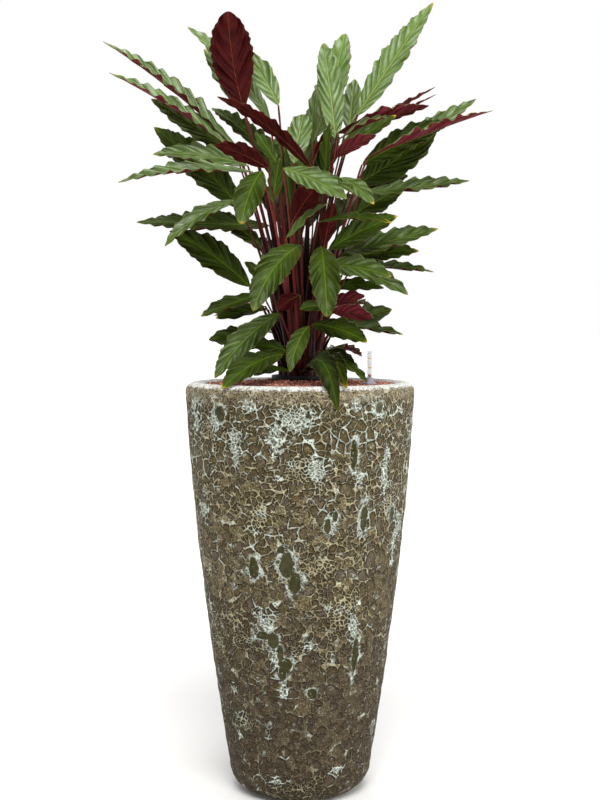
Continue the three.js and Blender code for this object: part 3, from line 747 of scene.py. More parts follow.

        # Crust and crater floors, with pits painted dark as shade, and pale crumbs
        mottle = f.centred(grain, 1.9, f.centred(grit, 1.3, f.centred(blotch, 1.0, 0.42)))
        mottle = f.add("MapRange", mottle, 0.0, 1.0)
        crust = f.add("Mix", mottle, self.crust, self.crust_light, data_type="RGBA")
        grey = f.add("MapRange", greyness, 0.35, 0.65)
        lower = f.add("MapRange", f.centred(slow, 300.0, height), 640.0, 440.0, 0.2, 1.0)
        grey = f.add("Math", grey, lower, operation="MULTIPLY", use_clamp=True)
        disc = f.add("Mix", grey, self.disc, self.disc_grey, data_type="RGBA")
        specks = f.add("MapRange", mottle, 0.4, 1.0, 0.0, 0.5)
        disc = f.add("Mix", specks, disc, self.crust_light, data_type="RGBA")
        in_disc = f.add("MapRange", inside, 0.2, 1.4, 0.0, 0.9)
        in_disc = f.add("Math", open_crater, in_disc, operation="MULTIPLY", use_clamp=True)
        crater = f.add("Mix", in_disc, crust, disc, data_type="RGBA")
        low = f.centred(slower, 500.0, f.centred(slow, 260.0, height))
        low = f.add("MapRange", low, 500.0, 140.0, 0.0, 0.8)
        crater = f.add("Mix", low, crater, self.crust_low, data_type="RGBA")
        # Painted shade in the low pits of the grain
        pits, gritty = f.add("MapRange", grain, 0.46, 0.36, 0.0, 0.8), f.add("MapRange", grit, 0.6, 0.4)
        pits = f.add("Math", pits, gritty, operation="MULTIPLY", use_clamp=True)
        fewer = f.add("MapRange", in_disc, 0.0, 0.9, 1.0, 0.35)
        pits = f.add("Math", pits, fewer, operation="MULTIPLY", use_clamp=True)
        crater = f.add("Mix", pits, crater, self.shade, data_type="RGBA")
        crater = f.add("Mix", shade, crater, self.shade, data_type="RGBA")
        crumbs = f.add("MapRange", grain, 0.56, 0.66)
        fewer = f.add("MapRange", in_disc, 0.0, 0.9, 0.7, 0.12)
        crumbs = f.add("Math", crumbs, fewer, operation="MULTIPLY", use_clamp=True)
        fewer = f.add("MapRange", low, 0.0, 0.8, 1.0, 0.4)
        crumbs = f.add("Math", crumbs, fewer, operation="MULTIPLY", use_clamp=True)
        crater = f.add("Mix", crumbs, crater, self.net, data_type="RGBA")

        crest = f.add("Mix", low, self.net, self.net_low, data_type="RGBA")
        crest = f.add("Mix", minty, crest, self.mint, data_type="RGBA")
        dirt = f.add("MapRange", grit, 0.56, 0.36, 0.0, 0.5)
        crest = f.add("Mix", dirt, crest, self.crust_light, data_type="RGBA")
        colour = f.add("Mix", lit_net, crater, crest, data_type="RGBA")

        # Smooth pools with a broken mint ring
        pooled = f.centred(grit, 0.5, f.centred(blotch, 1.1, pool))
        in_pool = f.add("MapRange", pooled, 0.44, 0.50)
        ring = f.add("MapRange", pooled, 0.14, 0.42, 0.0, 0.85)
        broken = f.add("MapRange", f.centred(blotch, 1.5, grit), 0.36, 0.62)
        ring = f.add("Math", ring, broken, operation="MULTIPLY", use_clamp=True)
        flecks = f.add("MapRange", grit, 0.66, 0.72, 0.0, 0.7)
        melt = f.add("Mix", flecks, self.pool, self.mint, data_type="RGBA")
        film = f.add("MapRange", blotch, 0.4, 0.6, 0.0, 0.45)
        melt = f.add("Mix", film, melt, self.crust, data_type="RGBA")
        colour = f.add("Mix", ring, colour, self.mint, data_type="RGBA")
        colour = f.add("Mix", in_pool, colour, melt, data_type="RGBA")

        # Bisque under the rim, and the pale wash on it
        under_rim = f.add("MapRange", f.centred(blotch, 40.0, height), 648.0, 676.0, 0.0, 0.85)
        grainy = f.add("MapRange", grain, 0.42, 0.54)
        under_rim = f.add("Math", under_rim, grainy, operation="MULTIPLY", use_clamp=True)
        colour = f.add("Mix", under_rim, colour, self.bisque, data_type="RGBA")
        on_rim = f.centred(grit, 11.0, f.centred(blotch, 6.0, height))
        on_rim = f.add("MapRange", on_rim, 676.0, 679.0)
        worn = f.add("MapRange", grit, 0.5, 0.36, 0.0, 0.7)
        wash = f.add("Mix", worn, self.rim, self.bisque, data_type="RGBA")
        colour = f.add("Mix", on_rim, colour, wash, data_type="RGBA")

        sunk = f.add("MapRange", distance, 0.0, 4.6, 0.0, -2.6, interpolation_type="SMOOTHSTEP")
        at_open = f.add("MapRange", open_crater, 0.0, 1.0, 0.25, 1.0)
        sunk = f.add("Math", sunk, at_open, operation="MULTIPLY")
        relief = f.add("Math", net, 1.1, sunk, operation="MULTIPLY_ADD")
        relief = f.centred(grain, 0.5, f.centred(grit, 0.8, relief))
        smooth = f.add("MapRange", on_rim, 0.0, 1.0, 0.0, 0.5)
        smooth = f.add("Math", in_pool, smooth, operation="MAXIMUM", use_clamp=True)
        rough_share = f.add("Math", 1.0, smooth, operation="SUBTRACT")
        bump = f.add("Bump", 1.0, 1.5 * MM, None, f.add("Math", relief, rough_share, operation="MULTIPLY"))
        rough = f.add("Mix", in_pool, f.add("MapRange", net, 0.0, 1.0, 0.8, 0.5), 0.24)
        shine = f.add("MapRange", net, 0.0, 1.0, 0.1, 0.4)
        return f.wear(Base_Color=colour, Roughness=rough, Specular_IOR_Level=shine, Normal=bump)


@dataclass(frozen=True)
class LavaStone:
    """Fired terracotta-red lava granules: rough, porous and quite dull, each with its own shade."""

    middle: str = "#c4775c"
    light: str = "#e8b096"
    # Darkest grains, and the painted shade in the pores
    dark: str = "#6f3a33"

    def material(self) -> bpy.types.Material:
        """Colours each grain by its mark, with pores 0.8 mm across in it painted dark as shade.

        Returns:
            The material.
        """
        f = Finish("lava_stone")
        shade, _, _ = f.mark("grain_marks")
        pores = f.add("TexNoise", f.place_mm(), 1 / 0.8, 3.0, 0.6)
        colour = f.add("Mix", shade, self.dark, self.middle, data_type="RGBA")
        bright = f.add("MapRange", shade, 0.6, 1.0, 0.0, 0.9)
        colour = f.add("Mix", bright, colour, self.light, data_type="RGBA")
        # Painted shade in the pores
        pore_shade = f.add("MapRange", pores, 0.5, 0.3, 0.0, 0.7)
        colour = f.add("Mix", pore_shade, colour, self.dark, data_type="RGBA")
        bump = f.add("Bump", 0.8, 0.5 * MM, None, pores)
        return f.wear(Base_Color=colour, Roughness=0.9, Normal=bump)


@dataclass(frozen=True)
class LavaBed:
    """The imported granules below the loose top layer: the same stone, drawn as grains 5 mm across."""

    middle: str = "#8a4a3c"
    # Painted shade in the gaps between the grains
    dark: str = "#2b1516"

    def material(self) -> bpy.types.Material:
        """Rounds the grains: colour and height fall off with the distance from each grain's middle; the dark
        is painted shade.

        Returns:
            The material.
        """
        f = Finish("lava_bed")
        grains = f.add("TexVoronoi", f.place_mm(), 1 / 5, feature="F1")
        # Painted shade: darker towards the gaps between the grains
        between = f.add("MapRange", grains, 0.15, 0.6)
        colour = f.add("Mix", between, self.middle, self.dark, data_type="RGBA")
        bump = f.add("Bump", 1.0, 2.5 * MM, None, f.add("Math", 1.0, grains, operation="SUBTRACT"))
        return f.wear(Base_Color=colour, Roughness=0.95, Normal=bump)


@dataclass(frozen=True)
class BlackPolypropylene:
    """Injection-moulded black polypropylene of a nursery pot: satin, dusty, with a faint moulded grain."""

    black: str = "#0b0b0c"
    dust: str = "#2a2520"

    def material(self) -> bpy.types.Material:
        """Lays dust in patches some 6 mm across over a grain of 0.6 mm.

        Returns:
            The material.
        """
        f = Finish("black_polypropylene")
        place = f.place_mm()
        dust = f.add("MapRange", f.add("TexNoise", place, 1 / 6, 3.0, 0.6), 0.45, 0.75, 0.0, 0.4)
        colour = f.add("Mix", dust, self.black, self.dust, data_type="RGBA")
        bump = f.add("Bump", 0.3, 0.1 * MM, None, f.add("TexNoise", place, 1 / 0.6, 2.0, 0.5))
        return f.wear(Base_Color=colour, Roughness=f.add("Mix", dust, 0.55, 0.85), Normal=bump, IOR=1.3)


@dataclass(frozen=True)
class PottingCompost:
    """Damp peat compost: near black crumbs with a few paler fibres and bits of bark."""

    peat: str = "#2a1d15"
    bark: str = "#5d4330"

    def material(self) -> bpy.types.Material:
        """Draws crumbs 3 mm across, with pale bits where a finer noise peaks.

        Returns:
            The material.
        """
        f = Finish("potting_compost")
        place = f.place_mm()
        crumbs = f.add("TexVoronoi", place, 1 / 3, feature="F1")
        bits = f.add("MapRange", f.add("TexNoise", place, 1 / 2.2, 3.0, 0.6), 0.58, 0.7)
        colour = f.add("Mix", bits, self.peat, self.bark, data_type="RGBA")
        bump = f.add("Bump", 1.0, 1.5 * MM, None, crumbs)
        return f.wear(Base_Color=colour, Roughness=0.95, Normal=bump)


@dataclass(frozen=True)
class ClearAcrylic:
    """Thin-walled acrylic tube, dulled by handling: a grey film, with the float showing through it."""

    tint: str = "#8f8f96"
    clearness: float = 0.82

    def material(self) -> bpy.types.Material:
        """Roughens it with smears 9 mm long; each of the four surfaces on the way through hides a little.

        Returns:
            The material.
        """
        f = Finish("clear_acrylic")
        smears = f.add("TexNoise", f.place_mm(), 1 / 9, 2.0, 0.5)
        rough = f.add("MapRange", smears, 0.3, 0.7, 0.12, 0.3)
        return f.wear(Base_Color=self.tint, Roughness=rough, Alpha=1 - self.clearness, IOR=1.49)


@dataclass(frozen=True)
class MouldedPolystyrene:
    """Moulded polystyrene: even and satin, with a slight mottle of handling marks."""

    name: str
    colour: str
    worn: str
    roughness: float = 0.4

    def material(self) -> bpy.types.Material:
        """Lightens and dulls the colour in marks some 4 mm across.

        Returns:
            The material.
        """
        f = Finish(self.name)
        place = f.place_mm()
        mottle = f.add("MapRange", f.add("TexNoise", place, 1 / 4, 3.0, 0.6), 0.35, 0.75, 0.0, 0.7)
        colour = f.add("Mix", mottle, self.colour, self.worn, data_type="RGBA")
        rough = f.add("Mix", mottle, self.roughness, self.roughness + 0.15)
        bump = f.add("Bump", 0.2, 0.1 * MM, None, f.add("TexNoise", place, 1 / 0.7, 2.0, 0.5))
        return f.wear(Base_Color=colour, Roughness=rough, Normal=bump)


@dataclass(frozen=True)
class BladeUpper:
    """Upper side of the blade: satin green, ribbed by its side veins, with a pale midrib and a dry margin."""

    # deep and fresh are the ends of the green's lightness, which carries the leaf's own tone and painted
    # light and shade
    deep: str = "#191b04"
    green: str = "#394a08"
    fresh: str = "#76953f"
    # Colour of the painted sheen on the crests of the paler leaves
    painted_sheen: str = "#a9bb9c"
    midrib: str = "#6f891e"
    midrib_pale: str = "#aebf66"
    sap: str = "#587a10"
    margin: str = "#7c6a34"
    ripe: str = "#c9ad33"
    rib_gap: float = 19.0
    vein_gap: float = 3.1

    def material(self) -> bpy.types.Material:
        """Colours the blade from its marks.

        blade_mm holds the place of a side vein along the midrib, the distance from the midrib and the
        distance from the margin; leaf_marks holds the share of the length, the tone and the ripeness of
        the tip. The tone, a cloudy noise and the swell between the side veins say how light the green is;
        the swell is painted light on its crests and painted shade in its hollows, and the tone is partly
        painted light. Sap-green runs along the midrib, and a painted blue-green sheen lies on the crests of
        the paler leaves.

        Returns:
            The material.
        """
        f = Finish("calathea_blade_upper")
        place = f.place_mm()
        along, across, edge = f.mark("blade_mm")
        share, tone, ripe = f.mark("leaf_marks")
        cloud = f.add("TexNoise", place, 1 / 24, 3.0, 0.55)
        fine = f.add("TexNoise", place, 1 / 2.0, 2.0, 0.5)
        shaken = f.add("TexNoise", place, 1 / 17, 1.0, 0.5)
        shaken = f.add("Math", shaken, 7.0, along, operation="MULTIPLY_ADD")
        off_midrib = f.add("MapRange", across, 0.5, 5.0)
        ribs = f.add("Math", f.waves(shaken, self.rib_gap), off_midrib, operation="MULTIPLY")
        off_tip = f.add("MapRange", share, 0.55, 0.8, 1.0, 0.0)
        veins = f.add("Math", f.waves(shaken, self.vein_gap), off_tip, operation="MULTIPLY")

        # Painted light and shade: the crests of the swell between the side veins are lighter and its hollows
        # darker, and the pale tones stand partly for leaves in the light
        contrast = f.add("MapRange", tone, -0.4, 0.9, 0.2, 0.62)
        light = f.centred(ribs, contrast, f.centred(cloud, 0.9, tone), middle=0.6)
        darkened, freshened = f.add("MapRange", light, 0.1, -0.95), f.add("MapRange", light, 0.0, 1.1)
        colour = f.add("Mix", darkened, self.green, self.deep, data_type="RGBA")
        colour = f.add("Mix", freshened, colour, self.fresh, data_type="RGBA")
        sap = f.add("MapRange", across, 13.0, 1.0, 0.0, 0.4)
        sap = f.add("Math", sap, cloud, operation="MULTIPLY")
        colour = f.add("Mix", sap, colour, self.sap, data_type="RGBA")

        # Painted sheen: a pale blue-green over the crests of the paler leaves
        painted_sheen = f.add("TexNoise", place, 1 / 14, 2.0, 0.6)
        painted_sheen = f.add("MapRange", painted_sheen, 0.35, 0.65, 0.1, 0.55)
        on_pale = f.add("MapRange", tone, -0.1, 0.8, 0.05, 1.35)
        painted_sheen = f.add("Math", painted_sheen, on_pale, operation="MULTIPLY")
        crests = f.add("MapRange", ribs, 0.2, 1.0, 0.12, 1.0)
        painted_sheen = f.add("Math", crests, painted_sheen, operation="MULTIPLY")
        colour = f.add("Mix", painted_sheen, colour, self.painted_sheen, data_type="RGBA")
        hair_lines = f.add("MapRange", veins, 0.6, 1.0, 0.0, 0.07)
        colour = f.add("Mix", hair_lines, colour, self.fresh, data_type="RGBA")

        narrowing = f.add("MapRange", share, 0.0, 1.0, 1.0, 0.35)
        midrib = f.add("Math", across, narrowing, operation="DIVIDE")
        midrib = f.add("MapRange", midrib, 1.4, 0.7)
        clearly = f.add("MapRange", tone, -0.8, 0.8, 0.3, 0.75)
        midrib = f.add("Math", midrib, clearly, operation="MULTIPLY")
        pale = f.add("MapRange", tone, 0.1, 0.9)
        midrib_colour = f.add("Mix", pale, self.midrib, self.midrib_pale, data_type="RGBA")
        colour = f.add("Mix", midrib, colour, midrib_colour, data_type="RGBA")

        dry = f.add("MapRange", f.centred(fine, 1.0, edge), 0.6, 0.25, 0.0, 0.5)
        colour = f.add("Mix", dry, colour, self.margin, data_type="RGBA")
        tip = f.add("MapRange", f.centred(fine, 0.05, share), 0.945, 0.985)
        edge_by_tip = f.add("Math", share, -16.0, edge, operation="MULTIPLY_ADD")
        edge_by_tip = f.add("MapRange", edge_by_tip, -12.4, -14.4, 0.0, 0.8)
        tip = f.add("Math", tip, edge_by_tip, operation="MAXIMUM")
        tip = f.add("Math", tip, ripe, operation="MULTIPLY")
        colour = f.add("Mix", tip, colour, self.ripe, data_type="RGBA")

        relief = f.add("Math", veins, 0.03, ribs, operation="MULTIPLY_ADD")
        relief = f.add("Math", fine, 0.08, relief, operation="MULTIPLY_ADD")
        bump = f.add("Bump", 1.0, 1.7 * MM, None, relief)
        rough = f.add("MapRange", cloud, 0.3, 0.7, 0.3, 0.46)
        shine = f.add("MapRange", tone, -0.4, 0.6, 0.07, 0.5)
        return f.wear(Base_Color=colour, Roughness=rough, Specular_IOR_Level=shine, Normal=bump)


@dataclass(frozen=True)
class BladeUnderside:
    """Underside of the blade: maroon, softly hairy, with a paler midrib and raised side veins."""

    maroon: str = "#470f0c"
    # Paler maroon, painted as light between the side veins
    light: str = "#5f1b18"
    # Darkest maroon, in the blotches and as painted shade in the side veins' grooves
    dark: str = "#220504"
    # A pinker maroon, painted as light on undersides that face the light
    painted_sunlit_rose: str = "#903c46"
    midrib: str = "#6e3423"
    margin: str = "#744223"
    hair: str = "#a05a60"
    rib_gap: float = 15.0

    def material(self) -> bpy.types.Material:
        """Clouds and ribs the maroon; the hairs are too fine to draw one by one, so they are a soft sheen.

        The light between the side veins, the shade in their grooves and the pinker maroon of undersides that
        face the light are painted.

        Returns:
            The material.
        """
        f = Finish("calathea_blade_underside")
        place = f.place_mm()
        along, across, edge = f.mark("blade_mm")
        _, tone, _ = f.mark("leaf_marks")
        cloud = f.add("TexNoise", place, 1 / 20, 3.0, 0.55)
        shaken = f.add("TexNoise", place, 1 / 14, 1.0, 0.5)
        shaken = f.add("Math", shaken, 3.2, along, operation="MULTIPLY_ADD")
        wave = f.waves(shaken, self.rib_gap)
        patchy = f.add("MapRange", cloud, 0.33, 0.66, 0.1, 1.0)
        colour = f.add("Mix", patchy, self.dark, self.maroon, data_type="RGBA")
        # Painted light: undersides of the paler tones, the ones that face the light, turn pinker
        painted_sunlit = f.add("MapRange", tone, 0.0, 1.0, 0.0, 0.75)
        colour = f.add("Mix", painted_sunlit, colour, self.painted_sunlit_rose, data_type="RGBA")
        # Painted light between the side veins and painted shade in their grooves
        lit = f.add("Math", wave, 0.35, operation="MULTIPLY")
        colour = f.add("Mix", lit, colour, self.light, data_type="RGBA")
        groove = f.add("Math", f.add("MapRange", wave, 0.72, 1.0), 0.5, operation="MULTIPLY")
        colour = f.add("Mix", groove, colour, self.dark, data_type="RGBA")
        midrib = f.add("MapRange", across, 1.1, 0.6, 0.0, 0.6)
        colour = f.add("Mix", midrib, colour, self.midrib, data_type="RGBA")
        at_edge = f.add("MapRange", edge, 0.6, 0.2, 0.0, 0.5)
        colour = f.add("Mix", at_edge, colour, self.margin, data_type="RGBA")
        bump = f.add("Bump", 1.0, 1.5 * MM, None, f.add("Math", 1.0, wave, operation="SUBTRACT"))
        return f.wear(
            Base_Color=colour, Roughness=0.62, Normal=bump, IOR=1.17, Sheen_Weight=0.02, Sheen_Roughness=0.5,
            Sheen_Tint=self.hair,
        )


@dataclass(frozen=True)
class Petiole:
    """Leaf stalk and its sheath: wine red, ribbed lengthwise, olive where it turns into the blade."""

    wine: str = "#4a1611"
    light: str = "#8c3a38"
    # Near black, painted as shade low on the stalks
    dark: str = "#090201"
    olive: str = "#433b12"

    def material(self) -> bpy.types.Material:
        """Streaks the stalk, and paints shade on it low down and on the duller stalks below their tops.

        leaf_marks holds the share of the stalk's length, its tone and how green its top is.

        Returns:
            The material.
        """
        f = Finish("calathea_petiole")
        place = f.place_mm()
        share, tone, green = f.mark("leaf_marks")
        stretched = f.add("VectorMath", place, (1.0, 1.0, 0.05), operation="MULTIPLY")
        streaks = f.add("TexNoise", stretched, 1 / 1.5, 3.0, 0.6)
        blotch = f.add("TexNoise", place, 1 / 18, 2.0, 0.5)
        colour = f.add("Mix", f.add("MapRange", streaks, 0.42, 0.7), self.wine, self.light, data_type="RGBA")
        brighter = f.add("MapRange", tone, 0.1, 1.0, 0.0, 0.5)
        colour = f.add("Mix", brighter, colour, self.light, data_type="RGBA")
        # Painted shade: the stalks darken low down, where they crowd round the crown, and the duller stalks
        # darken below their tops
        low = f.add("MapRange", share, 0.95, 0.5, 0.0, 0.78)
        not_bright = f.add("MapRange", tone, 0.9, 0.1, 0.2, 1.0)
        low = f.add("Math", low, not_bright, operation="MULTIPLY")
        colour = f.add("Mix", low, colour, self.dark, data_type="RGBA")
        dull = f.add("MapRange", tone, 0.1, -0.9, 0.0, 0.9)
        not_top = f.add("MapRange", share, 0.97, 0.6, 0.1, 1.0)
        dull = f.add("Math", dull, not_top, operation="MULTIPLY")
        colour = f.add("Mix", dull, colour, self.dark, data_type="RGBA")
        high = f.add("Math", share, blotch, operation="MULTIPLY")
        high = f.add("MapRange", high, 0.36, 0.58, 0.0, 0.85)
        high = f.add("Math", high, green, operation="MULTIPLY")
        colour = f.add("Mix", high, colour, self.olive, data_type="RGBA")
        bump = f.add("Bump", 0.6, 0.3 * MM, None, streaks)
        return f.wear(Base_Color=colour, Roughness=0.44, Normal=bump, IOR=1.2)


@dataclass(frozen=True)
class PaintedFloor:
    """Matt white painted studio floor, very slightly uneven."""

    white: str = "#f4f3f1"

    def material(self) -> bpy.types.Material:
        """Lets roller marks 60 mm across change how dull it is, and nothing else.

        Returns:
            The material.
        """
        f = Finish("painted_floor")
        rough = f.add("MapRange", f.add("TexNoise", f.place_mm(), 1 / 60, 2.0, 0.5), 0.3, 0.7, 0.75, 0.9)
        return f.wear(Base_Color=self.white, Roughness=rough)


# Planter


@dataclass
class Patch:
    """An oval mark on the planter's wall.

    Attributes:
        turn: Degrees round from the front, to the right.
        height: Height of its middle.
        half_width: Half its width along the wall.
        half_height: Half its height.
    """

    turn: float
    height: float
    half_width: float
    half_height: float

    def strength(self, turn: Array, height: Array, radius: Array) -> Array:
        """exp(-(s/a)^2 - (h/b)^2), with s the way along the wall and h the way up from the middle.

        Args:
            turn: Angles round the planter, in radians.
            height: Heights of the same points.
            radius: Their distances from the axis.

        Returns:
            From 0 far off to 1 at the mark's middle.
        """
        apart = (turn - math.radians(self.turn) + math.pi) % (2 * math.pi) - math.pi
        beside, above = apart * radius / self.half_width, (height - self.height) / self.half_height
        return np.exp(-(beside**2) - above**2)


@dataclass
class Planter:
    """The stoneware planter: a tall taper on a rounded foot, with a thick rounded rim."""

    foot_radius: float = 75.0
    corner_radius: float = 43.0
    body: tuple[tuple[float, float], ...] = ((137.5, 160), (163, 360), (180.5, 520), (190.2, 668))
    rim_middle: float = 174.0
    rim_width: float = 32.4
    rim_start: float = 668.0
    rim_crest: float = 683.0
    rim_fade: tuple[float, float] = (655.0, 676.0)
    foot_fade: float = 12.0
    cavity: tuple[tuple[float, float], ...] = (
        (157.6, 650), (160, 520), (143, 360), (117, 160), (98, 62), (74, 24)
    )
    mid_wall: tuple[tuple[float, float], ...] = (
        (0, 0), (90, 24), (127, 160), (153, 360), (170, 520), (174, 668), (174, 690)
    )
    columns: int = 356
    spacing: float = 3.1
    hidden_spacing: float = 30.0
    crust: float = 0.75
    seed: int = 5
    foam: tuple[Patch, ...] = (
        Patch(-25, 654, 14, 12), Patch(-11, 604, 13, 26), Patch(9, 558, 16, 18), Patch(40, 648, 18, 16),
        Patch(28, 656, 14, 12), Patch(-62, 649, 18, 26), Patch(-46, 630, 10, 16), Patch(47, 548, 10, 34),
        Patch(-62, 479, 16, 18), Patch(-33, 580, 9, 26), Patch(0, 625, 26, 12), Patch(16, 470, 14, 22),
        Patch(34, 474, 12, 28), Patch(62, 430, 9, 44), Patch(-8, 413, 16, 26), Patch(-19, 312, 26, 31),
        Patch(-15, 258, 16, 36), Patch(-10, 200, 10, 16), Patch(6, 275, 11, 13), Patch(33, 296, 14, 26),
        Patch(-49, 110, 8, 8), Patch(30, 59, 14, 9), Patch(-20, 45, 16, 8), Patch(-49, 187, 8, 12),
    )
    pools: tuple[Patch, ...] = (
        Patch(-7, 404, 13, 23), Patch(-3, 376, 12, 20), Patch(-10, 429, 8, 7), Patch(35, 475, 8, 25),
        Patch(14, 466, 6, 14), Patch(18, 481, 5, 10), Patch(-26, 397, 9, 20), Patch(-22, 288, 14, 8),
        Patch(-16, 281, 10, 15), Patch(-9, 242, 12, 13), Patch(-11, 226, 7, 14), Patch(36, 252, 7, 34),
        Patch(8, 194, 9, 10), Patch(31, 657, 8, 8), Patch(41, 650, 8, 10), Patch(-42, 638, 12, 14),
        Patch(27, 576, 7, 26), Patch(57, 474, 8, 15), Patch(-12, 262, 6, 14),
    )
    far_foam: int = 34
    far_pools: int = 20

    def outline(self) -> Array:
        """The turned profile: flat foot, quarter-round corner, taper, rim arc, then the wall inside.

        Returns:
            Radius and height, shape (n, 2), from the axis below to the axis above the floor.
        """
        quarter = np.linspace(0, math.pi / 2, 9)
        r = self.corner_radius
        corner = np.stack([self.foot_radius + r * np.sin(quarter), r * (1 - np.cos(quarter))], axis=-1)
        half = np.linspace(0, math.pi, 17)
        rise = self.rim_crest - self.rim_start
        rim = np.stack([
            self.rim_middle + self.rim_width / 2 * np.cos(half), self.rim_start + rise * np.sin(half)
        ], axis=-1)
        wall = rounded([tuple(corner[-1]), *self.body], self.spacing)
        shown = np.concatenate([corner, wall[1:-1], rim])
        run = np.concatenate([[0], np.cumsum(np.linalg.norm(np.diff(shown, axis=0), axis=1))])
        even = np.linspace(0, run[-1], round(run[-1] / self.spacing))
        shown = np.stack([np.interp(even, run, shown[:, k]) for k in (0, 1)], axis=-1)
        inside = rounded([tuple(rim[-1]), *self.cavity], self.hidden_spacing, passes=1)[1:]
        floor = self.cavity[-1][1]
        return np.concatenate([[[0, 0], [self.foot_radius / 2, 0]], shown, inside, [[30, floor], [0, floor]]])

    def marks(self) -> tuple[list[Patch], list[Patch]]:
        """The foam and pools that are seen from the front, and others by rule round the far side.

        Returns:
            The patches of foam, and the pools.
        """
        draw = Draw(self.seed)
        groups = []
        kinds = ((self.foam, self.far_foam, 16, 24), (self.pools, self.far_pools, 6, 13))
        for seen, count, wide, tall in kinds:
            far = [
                Patch(
                    180 + draw.jitter(112), 60 + 590 * draw.share(), wide * (0.6 + 0.8 * draw.share()),
                    tall * (0.5 + draw.share()),
                )
                for _ in range(count)
            ]
            groups.append([*seen, *far])
        return groups[0], groups[1]

    def surface(self) -> Surface:
        """The turned body, pushed out by crust (lumps 17 and 8 mm wide) + swells 60 mm wide + foam - pools.

        Returns:
            The surface, with the foam and pools and the unrolled charts as marks.
        """
        profile = self.outline()
        made = turned_profile(profile, self.columns)
        x, y, z = made.points.T
        turn, radius = np.arctan2(x, -y), np.hypot(x, y)
        foam, pools = self.marks()
        foamy = np.max([p.strength(turn, z, radius) for p in foam], axis=0)
        pooled = np.max([p.strength(turn, z, radius) for p in pools], axis=0)
        rim = smooth_step(*self.rim_fade, z)
        outer = radius > np.interp(z, *np.transpose(self.mid_wall)[::-1])
        body = smooth_step(0, self.foot_fade, z) * (1 - rim) * outer
        lumps = lattice_noise(made.points, 17, 1) + 0.7 * lattice_noise(made.points, 8, 2)
        slow = lattice_noise(made.points, 60, 3)
        smooth = 1 - smooth_step(0.3, 0.6, pooled)
        push = body * (self.crust * lumps * smooth + 0.5 * slow + 0.8 * foamy - 0.7 * (1 - smooth))
        push += rim * 0.35 * lattice_noise(made.points, 24, 4)
        made.points[:, 0] += push * x / np.maximum(radius, 1)
        made.points[:, 1] += push * y / np.maximum(radius, 1)
        made.marks["glaze_marks"] = np.stack([foamy, pooled, 0 * foamy], axis=-1)
        run = np.cumsum(np.linalg.norm(np.diff(profile, axis=0), axis=1))
        up_wall = np.append(np.repeat(run[:-1], self.columns), [0, run[-1]])
        from_back = np.where(turn > 0, turn - math.pi, turn + math.pi)
        made.marks["glaze_charts"] = np.stack([turn * radius, from_back * radius, up_wall], axis=-1)
        return made

    def build(self) -> None:
        """Makes the planter."""
        glaze = ReactiveGlaze().material()
        self.surface().piece("glazed_planter", Body.STILL, Slot.GLAZE, [glaze], ("planter",))


# Granules, nursery pot and soil

ICOSAHEDRON_FACES = np.array([
    (0, 11, 5), (0, 5, 1), (0, 1, 7), (0, 7, 10), (0, 10, 11), (1, 5, 9), (5, 11, 4), (11, 10, 2), (10, 7, 6),
    (7, 1, 8), (3, 9, 4), (3, 4, 2), (3, 2, 6), (3, 6, 8), (3, 8, 9), (4, 9, 5), (2, 4, 11), (6, 2, 10),
    (8, 6, 7), (9, 8, 1),
])


def icosahedron() -> Array:
    """The twelve corners (0, +-1, +-phi) and their turns, on a ball of radius 1."""
    phi = (1 + math.sqrt(5)) / 2
    return unit(np.array([
        (-1, phi, 0), (1, phi, 0), (-1, -phi, 0), (1, -phi, 0), (0, -1, phi), (0, 1, phi), (0, -1, -phi),
        (0, 1, -phi), (phi, 0, -1), (phi, 0, 1), (-phi, 0, -1), (-phi, 0, 1),
    ], float))


def chips(centres: Array, radii: Array, roughness: float, seed: int) -> Surface:
    """Angular grains: icosahedra, each corner at its own distance, each grain turned its own way.

    Args:
        centres: Middles of the grains, shape (n, 3).
        radii: Their mean radii, shape (n, 3), along three axes of their own.
        roughness: Most share by which a corner's distance differs.
        seed: Seed of the draw.

    Returns:
        All grains as one surface, with a shade of its own on each.
    """
    random = np.random.default_rng(seed)
    count = len(centres)
    corners = icosahedron()[None] * (1 + roughness * random.uniform(-1, 1, (count, 12, 1)))
    corners = corners * radii[:, None, :]
    axes = unit(random.normal(size=(count, 1, 3)))
    angles = random.uniform(0, 2 * math.pi, (count, 1))
    corners = turned_about(corners, axes, angles)
    faces = ICOSAHEDRON_FACES[None] + 12 * np.arange(count)[:, None, None]
    faces = np.concatenate([faces, np.full((count, 20, 1), NO_CORNER)], axis=-1)
    shade = np.repeat(random.uniform(0, 1, count), 12)
    marks = {"grain_marks": np.stack([shade, shade, shade], axis=-1)}
    return Surface((corners + centres[:, None]).reshape(-1, 3), faces.reshape(-1, 4), marks=marks)


